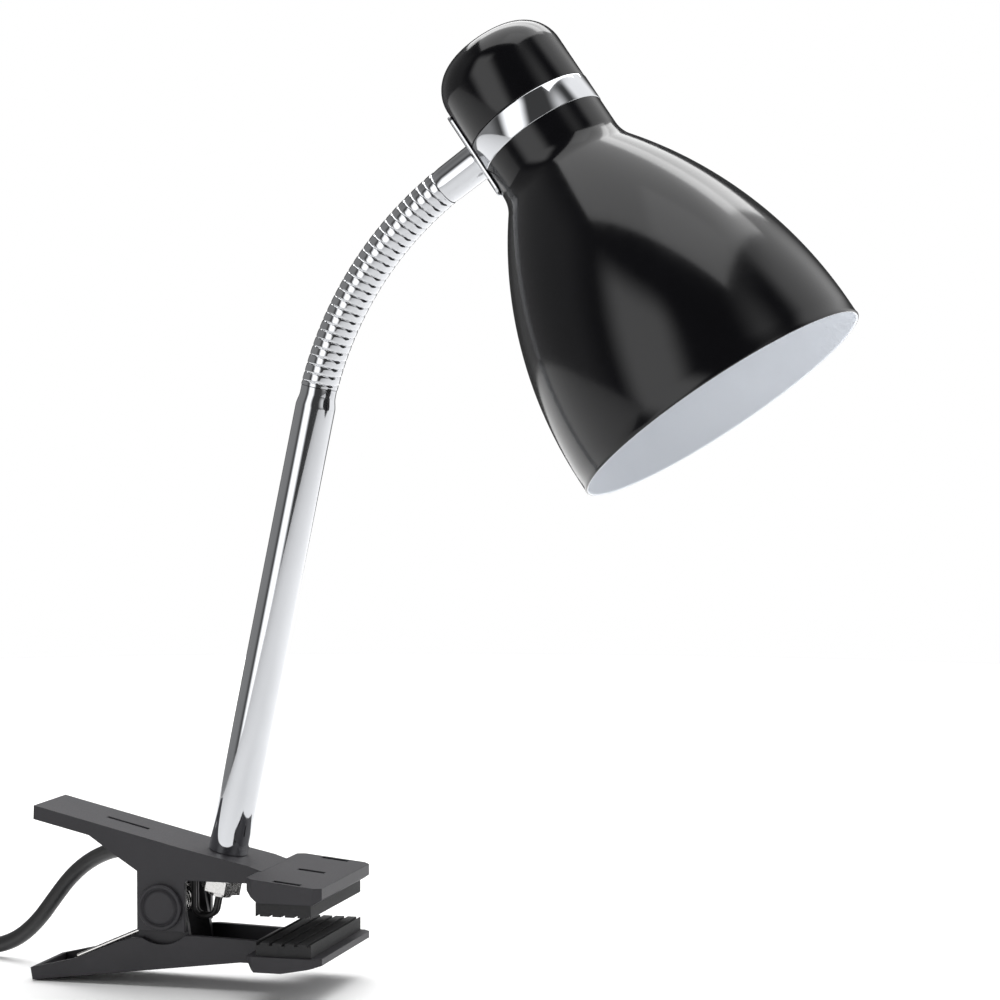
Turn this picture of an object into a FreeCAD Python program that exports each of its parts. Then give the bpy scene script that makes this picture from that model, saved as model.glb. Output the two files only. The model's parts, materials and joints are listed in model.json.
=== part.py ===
"""Clip-on reading lamp: spring clamp, chrome stem, gooseneck, bell shade, lampholder and mains lead.

Row frame: origin midway between the two grip pads, +X out of the jaws, +Z up, +Y across the clamp.
Three working axes are used: the stem axis, which leans towards the jaws, the neck polyline that
carries on from it, and the shade axis, measured from the mouth (0) up to the cap.
"""
import FreeCAD, Part
import math
import os

import Sketcher

V = FreeCAD.Vector
DOC = FreeCAD.newDocument("clip_on_reading_lamp")

SIZES = {
    # clamp
    "pad_gap": 10.0,            # board thickness held at rest
    "pivot_x": -54.7,
    "pivot_z": 3.8,
    "arm_width": 31.0,
    "arm_wall": 2.6,
    "handle_end_x": -107.5,
    "handle_end_z": 41.3,
    "handle_skirt": 5.4,
    "seat_x": -32.7,            # where the stem axis meets the top of the upper arm
    "seat_z": 24.1,
    "head_width": 64.0,         # both jaws spread into a cross bar this wide
    "head_back_x": -14.5,
    "head_front_x": 15.5,
    "head_back_z": 19.4,
    "head_front_z": 16.4,
    "head_under_z": 10.2,        # face that carries the rubber pad
    "ear_half": 9.8,
    "ear_wall": 2.4,
    "ear_foot_z": -5.6,
    "ear_clear": 0.4,
    "skirt_z": 14.5,
    "boss_radius": 8.2,
    "boss_depth": 7.0,
    "slot_length": 11.0,
    "slot_width": 3.2,
    "slot_pitch": 29.0,
    "lower_end_z": -22.5,
    "lower_foot_z": -27.3,
    "lower_head_z": -10.2,
    "lower_belly_z": -16.2,
    "pin_radius": 2.0,
    "pin_clearance": 0.05,
    "cap_disc_radius": 8.9,
    "cap_disc_thick": 1.9,
    "spring_wire": 1.8,
    "spring_mean": 10.5,
    "spring_turns": 5.2817,
    "spring_pitch": 2.95,
    "spring_lower_leg": 42.0,
    "spring_upper_leg": 23.0,
    "spring_swing": 66.4,       # points the first leg along the lower handle
    "pad_length": 22.0,
    "pad_width": 61.2,
    # stem and neck
    "stem_tilt": 11.86,
    "stem_length": 185.2,
    "stem_radius": 7.7,
    "stem_wall": 1.0,
    "swage_length": 8.0,
    "neck_radius": 7.1,
    "neck_bore": 4.4,
    "bead_pitch": 3.36,
    "bead_radius": 1.25,
    "joint_gap": 0.75,           # tube and collar stop this far short of the neck's end pivots
    "neck_first_turn": 5.5,
    "neck_turn": 4.178,
    "head_turn": 5.4,
    "nipple_radius": 4.9,
    "nipple_bore": 3.4,
    "nut_across": 14.0,
    "nut_height": 5.0,
    "washer_radius": 8.0,
    "washer_thick": 1.2,
    "core_radius": 1.1,
    # shade, measured along its axis from the mouth
    "mouth_radius": 59.0,
    "shade_straight": 6.0,
    "bell_radius": 165.0,
    "shade_wall": 0.8,
    "neck_fillet": 14.0,
    "throat_radius": 25.0,
    "ring_start": 121.5,
    "ring_end": 132.0,
    "ring_proud": 0.2,
    "cap_top": 165.5,
    "cap_round": 14.0,
    "cap_radius": 25.0,
    "collar_length": 17.6,
    "plate_middle": 129.8,
    "plate_length": 36.0,
    "plate_width": 22.0,
    "plate_thick": 1.2,
    # lampholder and bulb
    "holder_mouth": 92.0,
    "holder_radius": 19.6,
    "holder_bore": 17.2,
    "thread_radius": 13.1,
    "bulb_radius": 27.5,
    "bulb_nose": 16.0,
    "bulb_neck": 88.0,
    "bulb_waist": 13.0,
    "bulb_bend": 46.0,
    "bulb_wall": 0.8,
    # lead
    "lead_radius": 3.2,
    "floor_z": -27.5,
    "coil_centre_x": -204.0,
    "coil_centre_y": -42.0,
    "coil_mean": 36.0,
    "coil_half_width": 9.8,
    "coil_height": 13.4,
    "tie_width": 9.0,
    "tie_thick": 0.8,
    "switch_length": 58.0,
    "switch_width": 25.0,
    "switch_height": 16.0,
    "switch_split": 7.0,
    "rocker_length": 18.0,
    "rocker_width": 9.0,
    "plug_length": 38.0,
    "plug_pin_radius": 2.0,
    "plug_pin_length": 19.0,
    "plug_shank": 13.0,
    "plug_shank_radius": 1.4,
    "plug_pin_pitch": 19.0,
}

SHEET = DOC.addObject("Spreadsheet::Sheet", "Sizes")
for row, (alias, value) in enumerate(SIZES.items(), start=1):
    SHEET.set(f"A{row}", alias.replace("_", " "))
    SHEET.set(f"B{row}", f"{value}")
    SHEET.setAlias(f"B{row}", alias)
DOC.recompute()


class Size:
    """A length or angle together with the spreadsheet expression that gives it."""

    def __init__(self, value, text=None):
        self.value = float(value)
        self.text = text if text is not None else repr(float(value))

    def _join(self, other, sign, value, swap=False):
        other = as_size(other)
        left, right = (other, self) if swap else (self, other)
        return Size(value(left.value, right.value), f"({left.text} {sign} {right.text})")

    def __add__(self, other):
        return self._join(other, "+", lambda a, b: a + b)

    def __radd__(self, other):
        return self._join(other, "+", lambda a, b: a + b, swap=True)

    def __sub__(self, other):
        return self._join(other, "-", lambda a, b: a - b)

    def __rsub__(self, other):
        return self._join(other, "-", lambda a, b: a - b, swap=True)

    def __mul__(self, other):
        return self._join(other, "*", lambda a, b: a * b)

    def __rmul__(self, other):
        return self._join(other, "*", lambda a, b: a * b, swap=True)

    def __truediv__(self, other):
        return self._join(other, "/", lambda a, b: a / b)

    def __neg__(self):
        return Size(-self.value, f"(0 - {self.text})")

    def root(self):
        """The square root."""
        return Size(math.sqrt(self.value), f"sqrt({self.text})")


def as_size(number):
    """Any number as a Size."""
    return number if isinstance(number, Size) else Size(number)


def size(alias):
    """The named cell of the sheet."""
    return Size(SIZES[alias], f"Sizes.{alias}")


NAMES = {}


def unique(name):
    """A document name that is not used yet."""
    NAMES[name] = NAMES.get(name, 0) + 1
    return f"{name}_{NAMES[name]}"


# ---------------------------------------------------------------- sketches and simple solids


def arc_to(x, z, radius, turn=1):
    """An outline point reached by an arc: turn 1 runs anticlockwise, -1 clockwise."""
    return (x, z, radius, turn)


def draw(sketch, outline):
    """Draw a closed outline and bind every corner and radius to the sheet."""
    corners = [tuple(as_size(v) for v in step[:2]) for step in outline]
    arcs = [(as_size(step[2]), step[3]) if len(step) > 2 else None for step in outline]
    count = len(outline)
    ends = []
    for number in range(count):
        start = V(corners[number - 1][0].value, corners[number - 1][1].value, 0)
        end = V(corners[number][0].value, corners[number][1].value, 0)
        if arcs[number] is None:
            sketch.addGeometry(Part.LineSegment(start, end), False)
            ends.append((1, 2))
            continue
        radius, turn = arcs[number]
        half = (end - start) * 0.5
        rise = math.sqrt(max(radius.value ** 2 - half.Length ** 2, 0.0))
        left = V(-half.y, half.x, 0).normalize()
        centre = start + half + left * (rise * turn)
        circle = Part.Circle(centre, V(0, 0, 1), radius.value)
        first, last = (start, end) if turn > 0 else (end, start)
        angles = [math.atan2(p.y - centre.y, p.x - centre.x) for p in (first, last)]
        if angles[1] <= angles[0]:
            angles[1] += 2 * math.pi
        sketch.addGeometry(Part.ArcOfCircle(circle, *angles), False)
        ends.append((1, 2) if turn > 0 else (2, 1))
    for number in range(count):
        after = (number + 1) % count
        sketch.addConstraint(
            Sketcher.Constraint("Coincident", number, ends[number][1], after, ends[after][0]))
    for number in range(count):
        for kind, value in zip(("DistanceX", "DistanceY"), corners[number]):
            index = sketch.addConstraint(
                Sketcher.Constraint(kind, -1, 1, number, ends[number][1], value.value))
            sketch.setExpression(f"Constraints[{index}]", value.text)
        if arcs[number] is not None:
            radius = arcs[number][0]
            index = sketch.addConstraint(Sketcher.Constraint("Radius", number, radius.value))
            sketch.setExpression(f"Constraints[{index}]", radius.text)


def origin_plane(body, role):
    """One of a body's own origin planes."""
    return next(item for item in body.Origin.OriginFeatures if item.Role == role)


def new_sketch(body, role, outline):
    """A sketch on one of the body's origin planes."""
    sketch = body.newObject("Sketcher::SketchObject", unique("outline"))
    sketch.AttachmentSupport = [(origin_plane(body, role), "")]
    sketch.MapMode = "FlatFace"
    draw(sketch, outline)
    return sketch


def turned(label, outline, place=None):
    """A body turned about its own Z axis from an outline of (radius, height) points."""
    body = DOC.addObject("PartDesign::Body", unique("body"))
    sketch = new_sketch(body, "XZ_Plane", outline)
    feature = body.newObject("PartDesign::Revolution", unique("turn"))
    feature.Profile = sketch
    feature.ReferenceAxis = (sketch, ["V_Axis"])
    feature.Angle = 360.0
    body.Tip = feature
    sketch.Visibility = False
    return finish(body, label, place)


def padded(label, outline, length, role="XY_Plane", place=None, middle=False):
    """A body padded from an outline on one of its origin planes."""
    body = DOC.addObject("PartDesign::Body", unique("body"))
    sketch = new_sketch(body, role, outline)
    feature = body.newObject("PartDesign::Pad", unique("pad"))
    feature.Profile = sketch
    feature.Type = 0
    feature.Length = as_size(length).value
    feature.setExpression("Length", as_size(length).text)
    feature.Midplane = middle
    body.Tip = feature
    return finish(body, label, place)


def finish(item, label, place=None):
    """Name a piece and put it where it belongs."""
    if label:
        item.Label = label
    if place is not None:
        item.Placement = place
    return item


def profile_wall(outline, width):
    """An outline in the XZ plane carried across, centred on Y = 0."""
    return padded(None, outline, width, role="XZ_Plane", middle=True)


def box(x0, x1, width, z0, z1, middle_y=0.0):
    """A block between two X and two Z limits, centred on middle_y."""
    item = DOC.addObject("Part::Box", unique("block"))
    span = as_size(width)
    for name, value in (("Length", as_size(x1) - x0), ("Width", span), ("Height", as_size(z1) - z0)):
        setattr(item, name, value.value)
        item.setExpression(name, value.text)
    low = (as_size(x0), as_size(middle_y) - span / 2, as_size(z0))
    item.Placement.Base = V(*(value.value for value in low))
    for axis, value in zip("xyz", low):
        item.setExpression(f"Placement.Base.{axis}", value.text)
    return item


def rod(label, radius, length, place=None):
    """A plain cylinder along its own Z."""
    item = DOC.addObject("Part::Cylinder", unique("rod"))
    for name, value in (("Radius", as_size(radius)), ("Height", as_size(length))):
        setattr(item, name, value.value)
        item.setExpression(name, value.text)
    return finish(item, label, place)


def hexagon(across, length, place=None):
    """A hexagonal bar along its own Z, by its width across flats."""
    item = DOC.addObject("Part::Prism", unique("hexagon"))
    corner = as_size(across) / math.sqrt(3.0)
    item.Polygon = 6
    for name, value in (("Circumradius", corner), ("Height", as_size(length))):
        setattr(item, name, value.value)
        item.setExpression(name, value.text)
    return finish(item, None, place)


def joined(pieces, label=None, place=None):
    """Several solids fused into one."""
    item = DOC.addObject("Part::MultiFuse", unique("fuse"))
    item.Shapes = pieces
    item.Refine = True
    return finish(item, label, place)


def cut(base, tools, label=None, place=None):
    """A solid with one or more others taken out of it."""
    tool = tools[0] if len(tools) == 1 else joined(tools)
    item = DOC.addObject("Part::Cut", unique("cut"))
    item.Base = base
    item.Tool = tool
    item.Refine = True
    return finish(item, label, place)


def group(pieces, label, place=None):
    """Separate identical solids kept in one node."""
    item = DOC.addObject("Part::Compound", unique("group"))
    item.Links = pieces
    return finish(item, label, place)


def shaped(label, shape, place=None):
    """A piece whose shape comes straight from Part's functions."""
    item = DOC.addObject("Part::Feature", unique("shape"))
    item.Shape = shape
    return finish(item, label, place)


def placed(x=0.0, y=0.0, z=0.0, axis=V(0, 1, 0), angle=0.0):
    """A placement from a position and one turn in degrees."""
    return FreeCAD.Placement(V(x, y, z), FreeCAD.Rotation(axis, angle))


ALONG_Y = FreeCAD.Rotation(V(1, 0, 0), -90)
ALONG_MINUS_Y = FreeCAD.Rotation(V(1, 0, 0), 90)


def across(x, y, z):
    """A placement that lays a piece's Z along +Y."""
    return FreeCAD.Placement(V(x, y, z), ALONG_Y)


# ---------------------------------------------------------------- cords


def rounded_path(points, largest=None):
    """Straight runs joined by tangent arcs, each as large as its two runs allow."""
    edges = []
    radii = []
    start = points[0]
    for before, corner, after in zip(points, points[1:], points[2:]):
        into = corner - before
        out = after - corner
        shorter = min(into.Length, out.Length)
        into_unit = V(into).normalize()
        out_unit = V(out).normalize()
        turn = math.acos(max(-1.0, min(1.0, into_unit.dot(out_unit))))
        radius = 0.45 * shorter / math.tan(turn / 2)
        if largest is not None:
            radius = min(radius, largest)
        reach = radius * math.tan(turn / 2)
        first = corner - into_unit * reach
        last = corner + out_unit * reach
        inward = (out_unit - into_unit).normalize()
        middle = corner + inward * (radius / math.cos(turn / 2) - radius)
        edges.append(Part.LineSegment(start, first).toShape())
        edges.append(Part.Arc(first, middle, last).toShape())
        radii.append(radius)
        start = last
    edges.append(Part.LineSegment(start, points[-1]).toShape())
    return Part.Wire(edges), radii


def cord_solid(points, radius, largest=None, report=None):
    """A round cord along rounded_path, checked against its section times its length."""
    path, radii = rounded_path(points, largest)
    along = (points[1] - points[0]).normalize()
    section = Part.Wire([Part.Circle(points[0], along, radius).toShape()])
    solid = path.makePipeShell([section], True, False)
    expected = math.pi * radius ** 2 * path.Length
    if abs(solid.Volume - expected) > 0.01 * expected:
        raise ValueError(f"{report}: swept volume {solid.Volume:.0f}, expected {expected:.0f}")
    if report:
        listed = ", ".join(f"{value:.0f}" for value in radii)
        print(f"{report}: length {path.Length:.0f} mm, radii {listed}")
    return solid


# ---------------------------------------------------------------- working axes

PIVOT = V(SIZES["pivot_x"], 0, SIZES["pivot_z"])
STEM_TURN = FreeCAD.Rotation(V(0, 1, 0), SIZES["stem_tilt"])
STEM_FOOT = V(SIZES["seat_x"], 0, SIZES["seat_z"])
STEM = FreeCAD.Placement(STEM_FOOT, STEM_TURN)
STEM_TOP = STEM.multVec(V(0, 0, SIZES["stem_length"]))
SEGMENTS = 9
BEADS = 3
SEGMENT_LENGTH = BEADS * SIZES["bead_pitch"]


def neck_frames():
    """Placements of the neck's segments, then of the collar: Z along the neck, Y sideways."""
    frames = []
    place = STEM.multiply(placed(z=SIZES["stem_length"]))
    place = place.multiply(placed(axis=V(0, 0, 1), angle=-SIZES["head_turn"]))
    for number in range(SEGMENTS + 1):
        turn = SIZES["neck_first_turn"] if number == 0 else SIZES["neck_turn"]
        place = place.multiply(placed(angle=turn))
        frames.append(place)
        place = place.multiply(placed(z=SEGMENT_LENGTH))
    return frames


NECK = neck_frames()
COLLAR = NECK[-1]
# The shade's axis crosses the collar's at right angles; +Z of SHADE runs from the mouth to the cap.
PLATE_OUT = SIZES["throat_radius"] + SIZES["ring_proud"] + SIZES["plate_thick"]
SHADE = COLLAR.multiply(FreeCAD.Placement(
    V(0, 0, SIZES["collar_length"] + PLATE_OUT), FreeCAD.Rotation(V(0, 1, 0), -90)))
SHADE = SHADE.multiply(placed(z=-SIZES["plate_middle"]))

# ---------------------------------------------------------------- clamp

ARM_WIDTH = size("arm_width")
ARM_INSIDE = ARM_WIDTH - 2 * size("ear_wall")
PIVOT_X = size("pivot_x")
PIVOT_Z = size("pivot_z")
EAR_LEFT = PIVOT_X - size("ear_half")
EAR_RIGHT = PIVOT_X + size("ear_half")
KNEE_X = size("seat_x") - 13.3
SEAT_SLOPE = math.tan(math.radians(SIZES["stem_tilt"]))
KNEE_Z = size("seat_z") + 13.3 * SEAT_SLOPE
SHOULDER_X = size("head_back_x") - 4.5
SHOULDER_Z = size("seat_z") - (SHOULDER_X - size("seat_x")) * SEAT_SLOPE
RELIEF_RADIUS = 14.6
HEAD_CHAMFER = 2.6
SLOT_SHIFT = 1.0              # the slots sit this far in front of the pad's middle


def hinge_hole():
    """The pin's running hole, right across the clamp."""
    return rod(None, size("pin_radius") + size("pin_clearance"), 60.0,
               across(PIVOT.x, -30.0, PIVOT.z))


def head_slots(z0, z1):
    """Three slots through a jaw's cross bar, for the hooks of its pad."""
    middle = (size("head_back_x") + size("head_front_x")) / 2 + SLOT_SHIFT
    half = size("slot_length") / 2
    return [box(middle - half, middle + half, size("slot_width"), z0, z1, row * size("slot_pitch"))
            for row in (-1, 0, 1)]


def head_corners():
    """Blocks that trim the four plan corners of a jaw's cross bar."""
    back = size("head_back_x")
    front = size("head_front_x")
    side = size("head_width") / 2
    pieces = []
    for end, inner in ((back, back + HEAD_CHAMFER), (front, front - HEAD_CHAMFER)):
        for sign in (-1, 1):
            outline = [(end, sign * side), (inner, sign * side), (end, sign * (side - HEAD_CHAMFER))]
            pieces.append(padded(None, outline, 80.0, place=placed(z=-40.0)))
    return pieces


def upper_arm():
    """Upper jaw: channel handle, two ears round the hinge, stem seat and slotted cross bar."""
    top = [(size("handle_end_x"), size("handle_end_z")), (KNEE_X, KNEE_Z), (SHOULDER_X, SHOULDER_Z),
           (size("head_back_x") + 1.0, size("head_back_z"))]
    under = [(size("head_back_x") + 1.0, size("skirt_z")), (EAR_RIGHT + 1.5, size("skirt_z")),
             arc_to(EAR_RIGHT, size("skirt_z") - 1.5, 1.5),
             (EAR_RIGHT, size("ear_foot_z")), (EAR_LEFT, size("ear_foot_z")),
             (EAR_LEFT, 17.4), (EAR_LEFT - 8.5, 22.8), (EAR_LEFT - 20.0, 30.5),
             (size("handle_end_x") - 0.2, size("handle_end_z") - size("handle_skirt"))]
    body = profile_wall(top + under, ARM_WIDTH)
    drop = size("arm_wall") + 0.07
    wall = size("arm_wall")
    channel = profile_wall(
        [(size("handle_end_x") + wall, size("handle_end_z") - drop - wall * 0.2345),
         (KNEE_X, KNEE_Z - drop), (SHOULDER_X, SHOULDER_Z - drop),
         (size("head_back_x") - 1.0, SHOULDER_Z - drop - 0.6),
         (size("head_back_x") - 1.0, -30.0), (size("handle_end_x") + wall, -30.0)], ARM_INSIDE)
    shell = cut(body, [channel])
    bar = profile_wall(
        [(size("head_back_x"), size("head_back_z")), (size("head_front_x"), size("head_front_z")),
         (size("head_front_x"), size("head_front_z") - 4.2),
         (size("head_front_x") - 3.0, size("head_under_z")),
         (size("head_back_x") + 5.0, size("head_under_z")),
         (size("head_back_x"), size("skirt_z"))], size("head_width"))
    bar = cut(bar, head_slots(0.0, 30.0) + head_corners())
    boss = rod(None, size("boss_radius"), size("boss_depth") + 1.0,
               STEM.multiply(placed(z=-SIZES["arm_wall"] - SIZES["boss_depth"])))
    bore = rod(None, size("nipple_radius") + 0.15, 30.0, STEM.multiply(placed(z=-20.0)))
    grip_slot = box(size("handle_end_x") + 24.5, size("handle_end_x") + 42.0, 2.6, 20.0, 45.0)
    return cut(joined([shell, bar, boss]), [bore, grip_slot, hinge_hole()], "upper_arm")


def lower_arm():
    """Lower jaw: channel handle, two inner ears and the cross bar below the board."""
    slope = (SIZES["lower_foot_z"] - SIZES["lower_belly_z"]) / (SIZES["handle_end_x"] + 22.3)
    belly = size("lower_belly_z")
    back = size("head_back_x")
    outer = profile_wall(
        [(size("handle_end_x") - 1.8, size("lower_end_z")), (-92.0, -18.4), (EAR_LEFT - 3.0, -9.0),
         (EAR_RIGHT + 3.0, -6.8), (back + 1.0, -7.6), (back + 1.0, belly),
         (-22.3, belly), (size("handle_end_x") - 1.0, size("lower_foot_z"))], ARM_WIDTH)
    relief = cut(
        rod(None, RELIEF_RADIUS, 60.0, across(PIVOT.x, -30.0, PIVOT.z)),
        [rod(None, RELIEF_RADIUS + 1.0, ARM_INSIDE, across(PIVOT.x, -ARM_INSIDE.value / 2, PIVOT.z))])
    wall = size("arm_wall")
    channel = profile_wall(
        [(size("handle_end_x") + 1.0, 20.0), (back - 1.5, 20.0), (back - 1.5, belly + wall),
         (-22.3, belly + wall), (size("handle_end_x") + 1.0, size("lower_foot_z") + wall)], ARM_INSIDE)
    shell = cut(outer, [relief, channel])
    ear_width = ARM_INSIDE - 2 * size("ear_clear")
    ear = profile_wall(
        [arc_to(PIVOT_X - 8.6, PIVOT_Z, 8.61), (PIVOT_X - 12.0, belly), (PIVOT_X + 12.0, belly + 1.0),
         (PIVOT_X + 8.6, PIVOT_Z)], ear_width)
    ears = cut(ear, [box(PIVOT_X - 30.0, PIVOT_X + 30.0, ear_width - 2 * size("ear_wall"), -20.0, 30.0)])
    base = profile_wall(
        [(PIVOT_X - 12.0, belly - 1.2), (PIVOT_X - 12.0, belly + 1.2),
         (PIVOT_X + 12.0, belly + 1.2), (PIVOT_X + 12.0, belly - 1.2)], ARM_WIDTH - 1.0)
    bar = profile_wall(
        [(back, size("lower_head_z")), (size("head_front_x"), size("lower_head_z")),
         (size("head_front_x"), size("lower_head_z") - 2.6), (10.5, -14.2), (0.0, belly),
         (back + 3.5, belly), (back, belly + 4.2)], size("head_width"))
    bar = cut(bar, head_slots(-40.0, 0.0) + head_corners())
    spring_seat = box(-96.5, -89.0, 3.4, size("lower_foot_z") + 3.0, -20.9, -8.3)
    return cut(joined([shell, ears, base, bar, spring_seat]), [hinge_hole()], "lower_arm")


def jaw_pad(label, face_z, away):
    """A ribbed rubber pad that hooks into the three slots of its cross bar."""
    middle = (SIZES["head_back_x"] + SIZES["head_front_x"]) / 2
    half = size("pad_length") / 2
    depth = abs(SIZES["head_under_z"]) - SIZES["pad_gap"] / 2
    low, high = (face_z, face_z + depth) if away > 0 else (face_z - depth, face_z)
    block = box(middle - half, middle + half, size("pad_width"), low, high)
    ribs = []
    for number in range(5):
        x = middle - 10.0 + 5.0 * number
        z0 = low if away > 0 else high - 1.0
        ribs.append(box(x - 0.7, x + 0.7, size("pad_width") + 1.0, z0, z0 + 1.0))
    base = cut(block, ribs)
    hooks = []
    for row in (-1, 0, 1):
        z0, z1 = (high - 0.2, high + 2.4) if away > 0 else (low - 2.4, low + 0.2)
        hooks.append(box(middle + SLOT_SHIFT - 4.0, middle + SLOT_SHIFT + 4.0, size("slot_width") - 0.6,
                         z0, z1, row * size("slot_pitch")))
    return joined([base] + hooks, label)


def hinge_parts():
    """The rivet through the ears, and its two round heads."""
    span = size("arm_width")
    rod("hinge_pin", size("pin_radius"), span, across(PIVOT.x, -SIZES["arm_width"] / 2, PIVOT.z))
    radius = size("cap_disc_radius")
    thick = size("cap_disc_thick")
    outline = [(0, 0), (radius, 0), (radius, thick - 0.5), arc_to(radius - 0.5, thick, 0.5),
               (radius - 1.5, thick), (radius - 1.9, thick - 0.6), (radius - 2.3, thick), (0, thick)]
    heads = []
    for turn, y in ((90, -SIZES["arm_width"] / 2), (-90, SIZES["arm_width"] / 2)):
        place = FreeCAD.Placement(V(PIVOT.x, y, PIVOT.z), FreeCAD.Rotation(V(1, 0, 0), turn))
        heads.append(turned(None, outline, place))
    group(heads, "hinge_pin_heads")


def torsion_spring():
    """Coil round the hinge pin, with one leg along each handle."""
    mean = SIZES["spring_mean"] / 2
    pitch = SIZES["spring_pitch"]
    length = pitch * SIZES["spring_turns"]
    coil = Part.makeHelix(pitch, length, mean)
    coil.translate(V(0, 0, -length / 2))
    last = math.radians(360.0 * SIZES["spring_turns"])
    rise = pitch / (2 * math.pi * mean)
    start = V(mean, 0, -length / 2)
    end = V(mean * math.cos(last), mean * math.sin(last), length / 2)
    into = V(0, 1, rise).normalize()
    out = V(-math.sin(last), math.cos(last), rise).normalize()
    foot = start - into * SIZES["spring_lower_leg"]
    edges = [Part.LineSegment(foot, start).toShape(), *coil.Edges,
             Part.LineSegment(end, end + out * SIZES["spring_upper_leg"]).toShape()]
    section = Part.Wire([Part.Circle(foot, into, SIZES["spring_wire"] / 2).toShape()])
    solid = Part.Wire(edges).makePipeShell([section], True, True)
    solid = solid.mirror(V(0, 0, 0), V(0, 0, 1))
    # The coil's axis goes along Y; the swing points the first leg along the lower handle.
    swing = FreeCAD.Rotation(V(0, 1, 0), SIZES["spring_swing"])
    shaped("torsion_spring", solid, FreeCAD.Placement(PIVOT, swing.multiply(ALONG_MINUS_Y)))


# ---------------------------------------------------------------- stem


def stem():
    """Chrome tube, its threaded foot and the washer and nut that hold it on the upper arm."""
    radius = size("stem_radius")
    top = size("stem_length") - size("joint_gap")
    inner = radius - size("stem_wall")
    slim = size("neck_radius") - 0.2
    swage = top - size("swage_length")
    outline = [(inner, 0), (radius, 0), (radius, swage), (slim, swage + 5.0), (slim, top),
               (slim - size("stem_wall"), top), (slim - size("stem_wall"), swage + 5.0), (inner, swage)]
    turned("stem_tube", outline, STEM)
    bush_bore = size("nipple_radius")
    turned("stem_bush", [(bush_bore, 0), (inner, 0), (inner, 12.0), (bush_bore, 12.0)], STEM)
    wall = SIZES["arm_wall"] + SIZES["boss_depth"]
    reach = SIZES["washer_thick"] + SIZES["nut_height"] + 1.6
    nipple = [(size("nipple_bore"), 0), (size("nipple_radius"), 0),
              (size("nipple_radius"), wall + reach + 10.0), (size("nipple_bore"), wall + reach + 10.0)]
    turned("stem_nipple", nipple, STEM.multiply(placed(z=-wall - reach)))
    bore = size("nipple_radius")
    washer = [(bore, 0), (size("washer_radius"), 0), (size("washer_radius"), size("washer_thick")),
              (bore, size("washer_thick"))]
    turned("stem_washer", washer, STEM.multiply(placed(z=-wall - SIZES["washer_thick"])))
    low = -wall - SIZES["washer_thick"] - SIZES["nut_height"]
    nut = hexagon(size("nut_across"), size("nut_height"))
    hole = rod(None, bore, 20.0, placed(z=-5.0))
    cut(nut, [hole], "stem_nut", STEM.multiply(placed(z=low)))


def core_pair(points, largest):
    """The lead's two insulated cores, side by side along one route."""
    solids = []
    for side in (-1.25, 1.25):
        shifted = [point + V(0, side, 0) for point in points]
        solids.append(cord_solid(shifted, SIZES["core_radius"], largest))
    return Part.makeCompound(solids)


def stem_cores():
    """Cores from the lead's stripped end, up through the nipple and the tube."""
    frame = STEM.multVec
    points = [V(-50.0, 0, 18.8), V(-46.6, 0, 18.0), V(-46.4, 0, -1.6), frame(V(0, 0, -25.9)),
              frame(V(0, 0, 10.0)), frame(V(0.4, 0, 90.0)), frame(V(0, 0, SIZES["stem_length"] - 1.6))]
    shaped("stem_cores", core_pair(points, 4.0))


# ---------------------------------------------------------------- gooseneck


def neck_segment(number):
    """One link of the gooseneck: three rounded corrugations on a common core."""
    pitch = size("bead_pitch")
    radius = size("bead_radius")
    root = size("neck_radius") - radius
    low = pitch * 0.5 - radius
    outline = [(size("neck_bore"), low), (root, low)]
    for bead in range(BEADS):
        middle = pitch * (bead + 0.5)
        if bead:
            outline.append((root, middle - radius))
        outline.append(arc_to(root + radius, middle, radius))
        outline.append(arc_to(root, middle + radius, radius))
    outline.append((size("neck_bore"), pitch * (BEADS - 0.5) + radius))
    turned(f"neck_segment_{number + 1}", outline, NECK[number])


def neck_cores():
    """The stretch of the two cores inside the gooseneck."""
    solids = []
    for side in (-1.25, 1.25):
        points = [STEM.multVec(V(0, side, SIZES["stem_length"] - 1.0))]
        points += [place.multVec(V(0, side, SEGMENT_LENGTH / 2)) for place in NECK[:-1:2]]
        points.append(COLLAR.multVec(V(0, side, 0.2)))
        solids.append(cord_solid(points, SIZES["core_radius"]))
    shaped("neck_cores", Part.makeCompound(solids))


# ---------------------------------------------------------------- lamp head


def shade_side(offset):
    """The shade's side from mouth to throat, as (corner, arc) steps, offset inwards by a wall."""
    mouth = size("mouth_radius") - offset
    straight = size("shade_straight")
    bell = size("bell_radius")
    fillet = size("neck_fillet")
    throat = size("throat_radius")
    spread = throat + fillet - size("mouth_radius") + bell
    reach = bell + fillet
    rise = (reach * reach - spread * spread).root()
    axis = size("mouth_radius") - bell
    meet_r = axis + (bell - offset) * (spread / reach)
    meet_z = straight + (bell - offset) * (rise / reach)
    return [(mouth, 0), (mouth, straight), arc_to(meet_r, meet_z, bell - offset),
            arc_to(throat - offset, straight + rise, fillet + offset, -1)]


def reversed_side(steps):
    """The same outline walked the other way, with each arc turned over."""
    backwards = [steps[-1][:2]]
    for number in range(len(steps) - 1, 0, -1):
        step = steps[number]
        target = steps[number - 1][:2]
        backwards.append((*target, step[2], -step[3]) if len(step) > 2 else target)
    return backwards


def shade():
    """Spun bell shade, open at the mouth, with a plain cylindrical throat."""
    wall = size("shade_wall")
    top = size("ring_start")
    outline = shade_side(Size(0.0)) + [(size("throat_radius"), top), (size("throat_radius") - wall, top)]
    outline += reversed_side(shade_side(wall))
    turned("shade", outline, SHADE)


SLEEVE_TOP = size("ring_end") + 5.0


def nipple_hole():
    """Tool for the side hole that the nipple passes through."""
    return rod(None, size("nipple_radius") + 0.1, 30.0,
               FreeCAD.Placement(V(0, 0, SIZES["plate_middle"]), FreeCAD.Rotation(V(0, 1, 0), -90)))


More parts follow.
